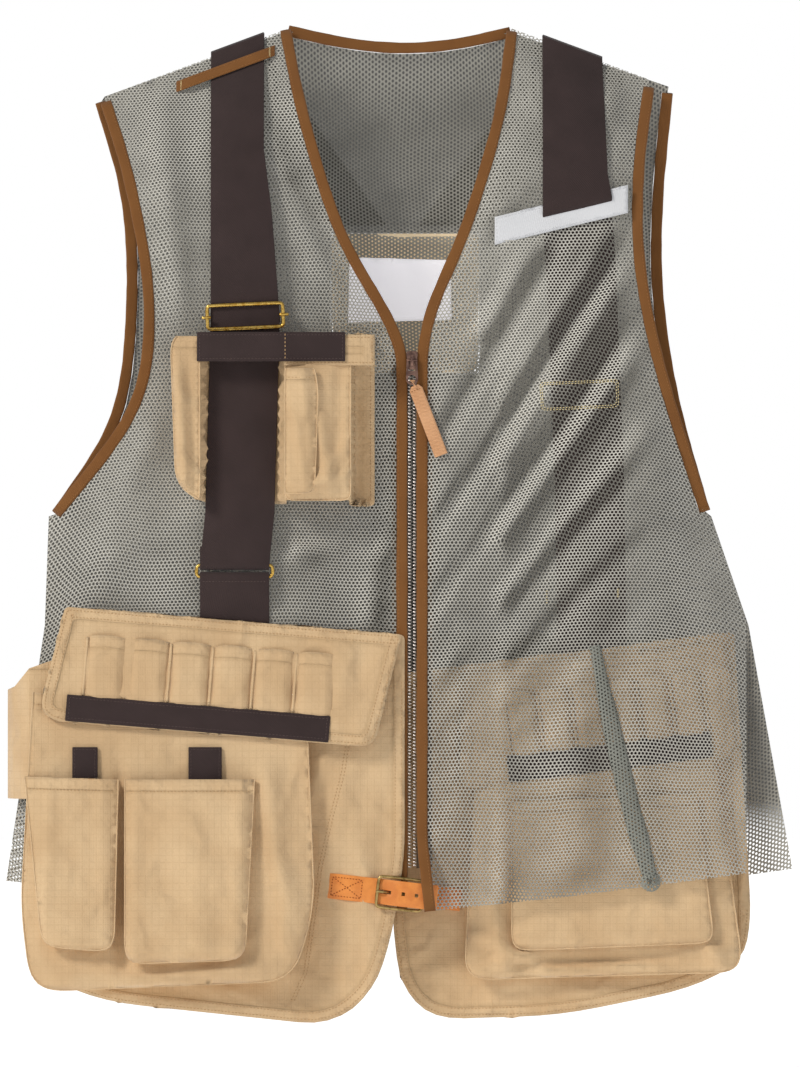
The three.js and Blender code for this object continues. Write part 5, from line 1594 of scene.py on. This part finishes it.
DART = [(146, -445), (153, -480), (163, -525), (174, -570), (184, -606), (188, -620)]
dart_line = smooth_line([on_left(p.x / MM, p.z / MM, 0.9) for p in flat_line(DART, 0.004)], 6)
DART_SIDES = 16
verts = []
section = flat_round(1.0, 1.0, DART_SIDES, 0.9)
for i, p in enumerate(dart_line):
    t = i / (len(dart_line) - 1)
    ahead = (dart_line[min(i + 1, len(dart_line) - 1)] - dart_line[max(i - 1, 0)]).normalized()
    across = ahead.cross(Vector((0, -1, 0))).normalized()
    wide = ((8 + 6 * min(1.0, t * 3.0) - 3.5 * max(0.0, t - 0.85) / 0.15)
            * (1 + 0.12 * soft(p.x, p.z, 0.02, 131)))
    high = 2.2 + 2.4 * min(1.0, t * 2.5)
    verts += [p + across * a * wide * MM + Vector((0, -1, 0)) * b * high * MM for a, b in section]
dart = mesh_object("rolled_mesh_dart", verts, strip_faces(len(dart_line), DART_SIDES), shaded_doubled_mesh)
outward(dart)
map_cloth(dart, 2.0, 133)
paint_drape_shade(dart, 0.8)
joins(dart, "vest", "sport_mesh")

verts = []
centre = on_left(188, -622, 2.0)
rings, spokes = 9, 40
for r in range(rings):
    for k in range(spokes):
        a = 2 * math.pi * k / spokes
        radius = 7.6 * r / (rings - 1)
        pleat = (0.55 * math.sin(a * 11 + 2.2 * r / rings)
                 * math.sin(math.pi * min(1.0, r / (rings - 1) + 0.1)))
        dome = 3.4 * math.cos(math.pi / 2 * (r / (rings - 1)) ** 1.5) - 2.0 * math.exp(-(radius / 1.6) ** 2)
        verts.append(centre + Vector((
            math.cos(a) * radius * MM, -(dome + pleat) * MM, math.sin(a) * radius * MM)))
rosette = mesh_object("mesh_rosette", verts, strip_faces(rings, spokes), shaded_doubled_mesh)
map_cloth(rosette, 1.0, 135)
paint_drape_shade(rosette, 0.8)
joins(rosette, "vest", "sport_mesh")
print("dart", round(length_of(dart_line, False), 3), "m")

# %% [markdown]
# The wing that carries the right panel round to the back is one bent strip of ripstop, with its
# own hemmed mouth. It keeps the CAD run and gains soft edges.

# %% Side wing
wing = refined("side_wing_cloth", "side_wing_right", khaki, "vest", "ripstop", 0.5)
wing_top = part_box("side_wing_right")[1].z
store(wing, "edge", [max(0.0, wing_top - v.co.z) for v in wing.data.vertices])

# %% [markdown]
# All the stitches collected so far are built now, one mesh for each thread on each body.

# %% Build the stitches
SLOT_OF = {"khaki": "ripstop", "brown": "binding_cloth", "cream": "ripstop", "dark": "webbing",
           "tan": "leather", "white": "white_tape"}
for (thread, body), batch in sorted(seams.items()):
    made = mesh_object(f"stitches_{thread}_{body}", batch.verts, batch.faces, THREADS[thread], smooth=False)
    joins(made, body, SLOT_OF[thread])
    print("stitches", thread, body, len(batch.faces) // 12)
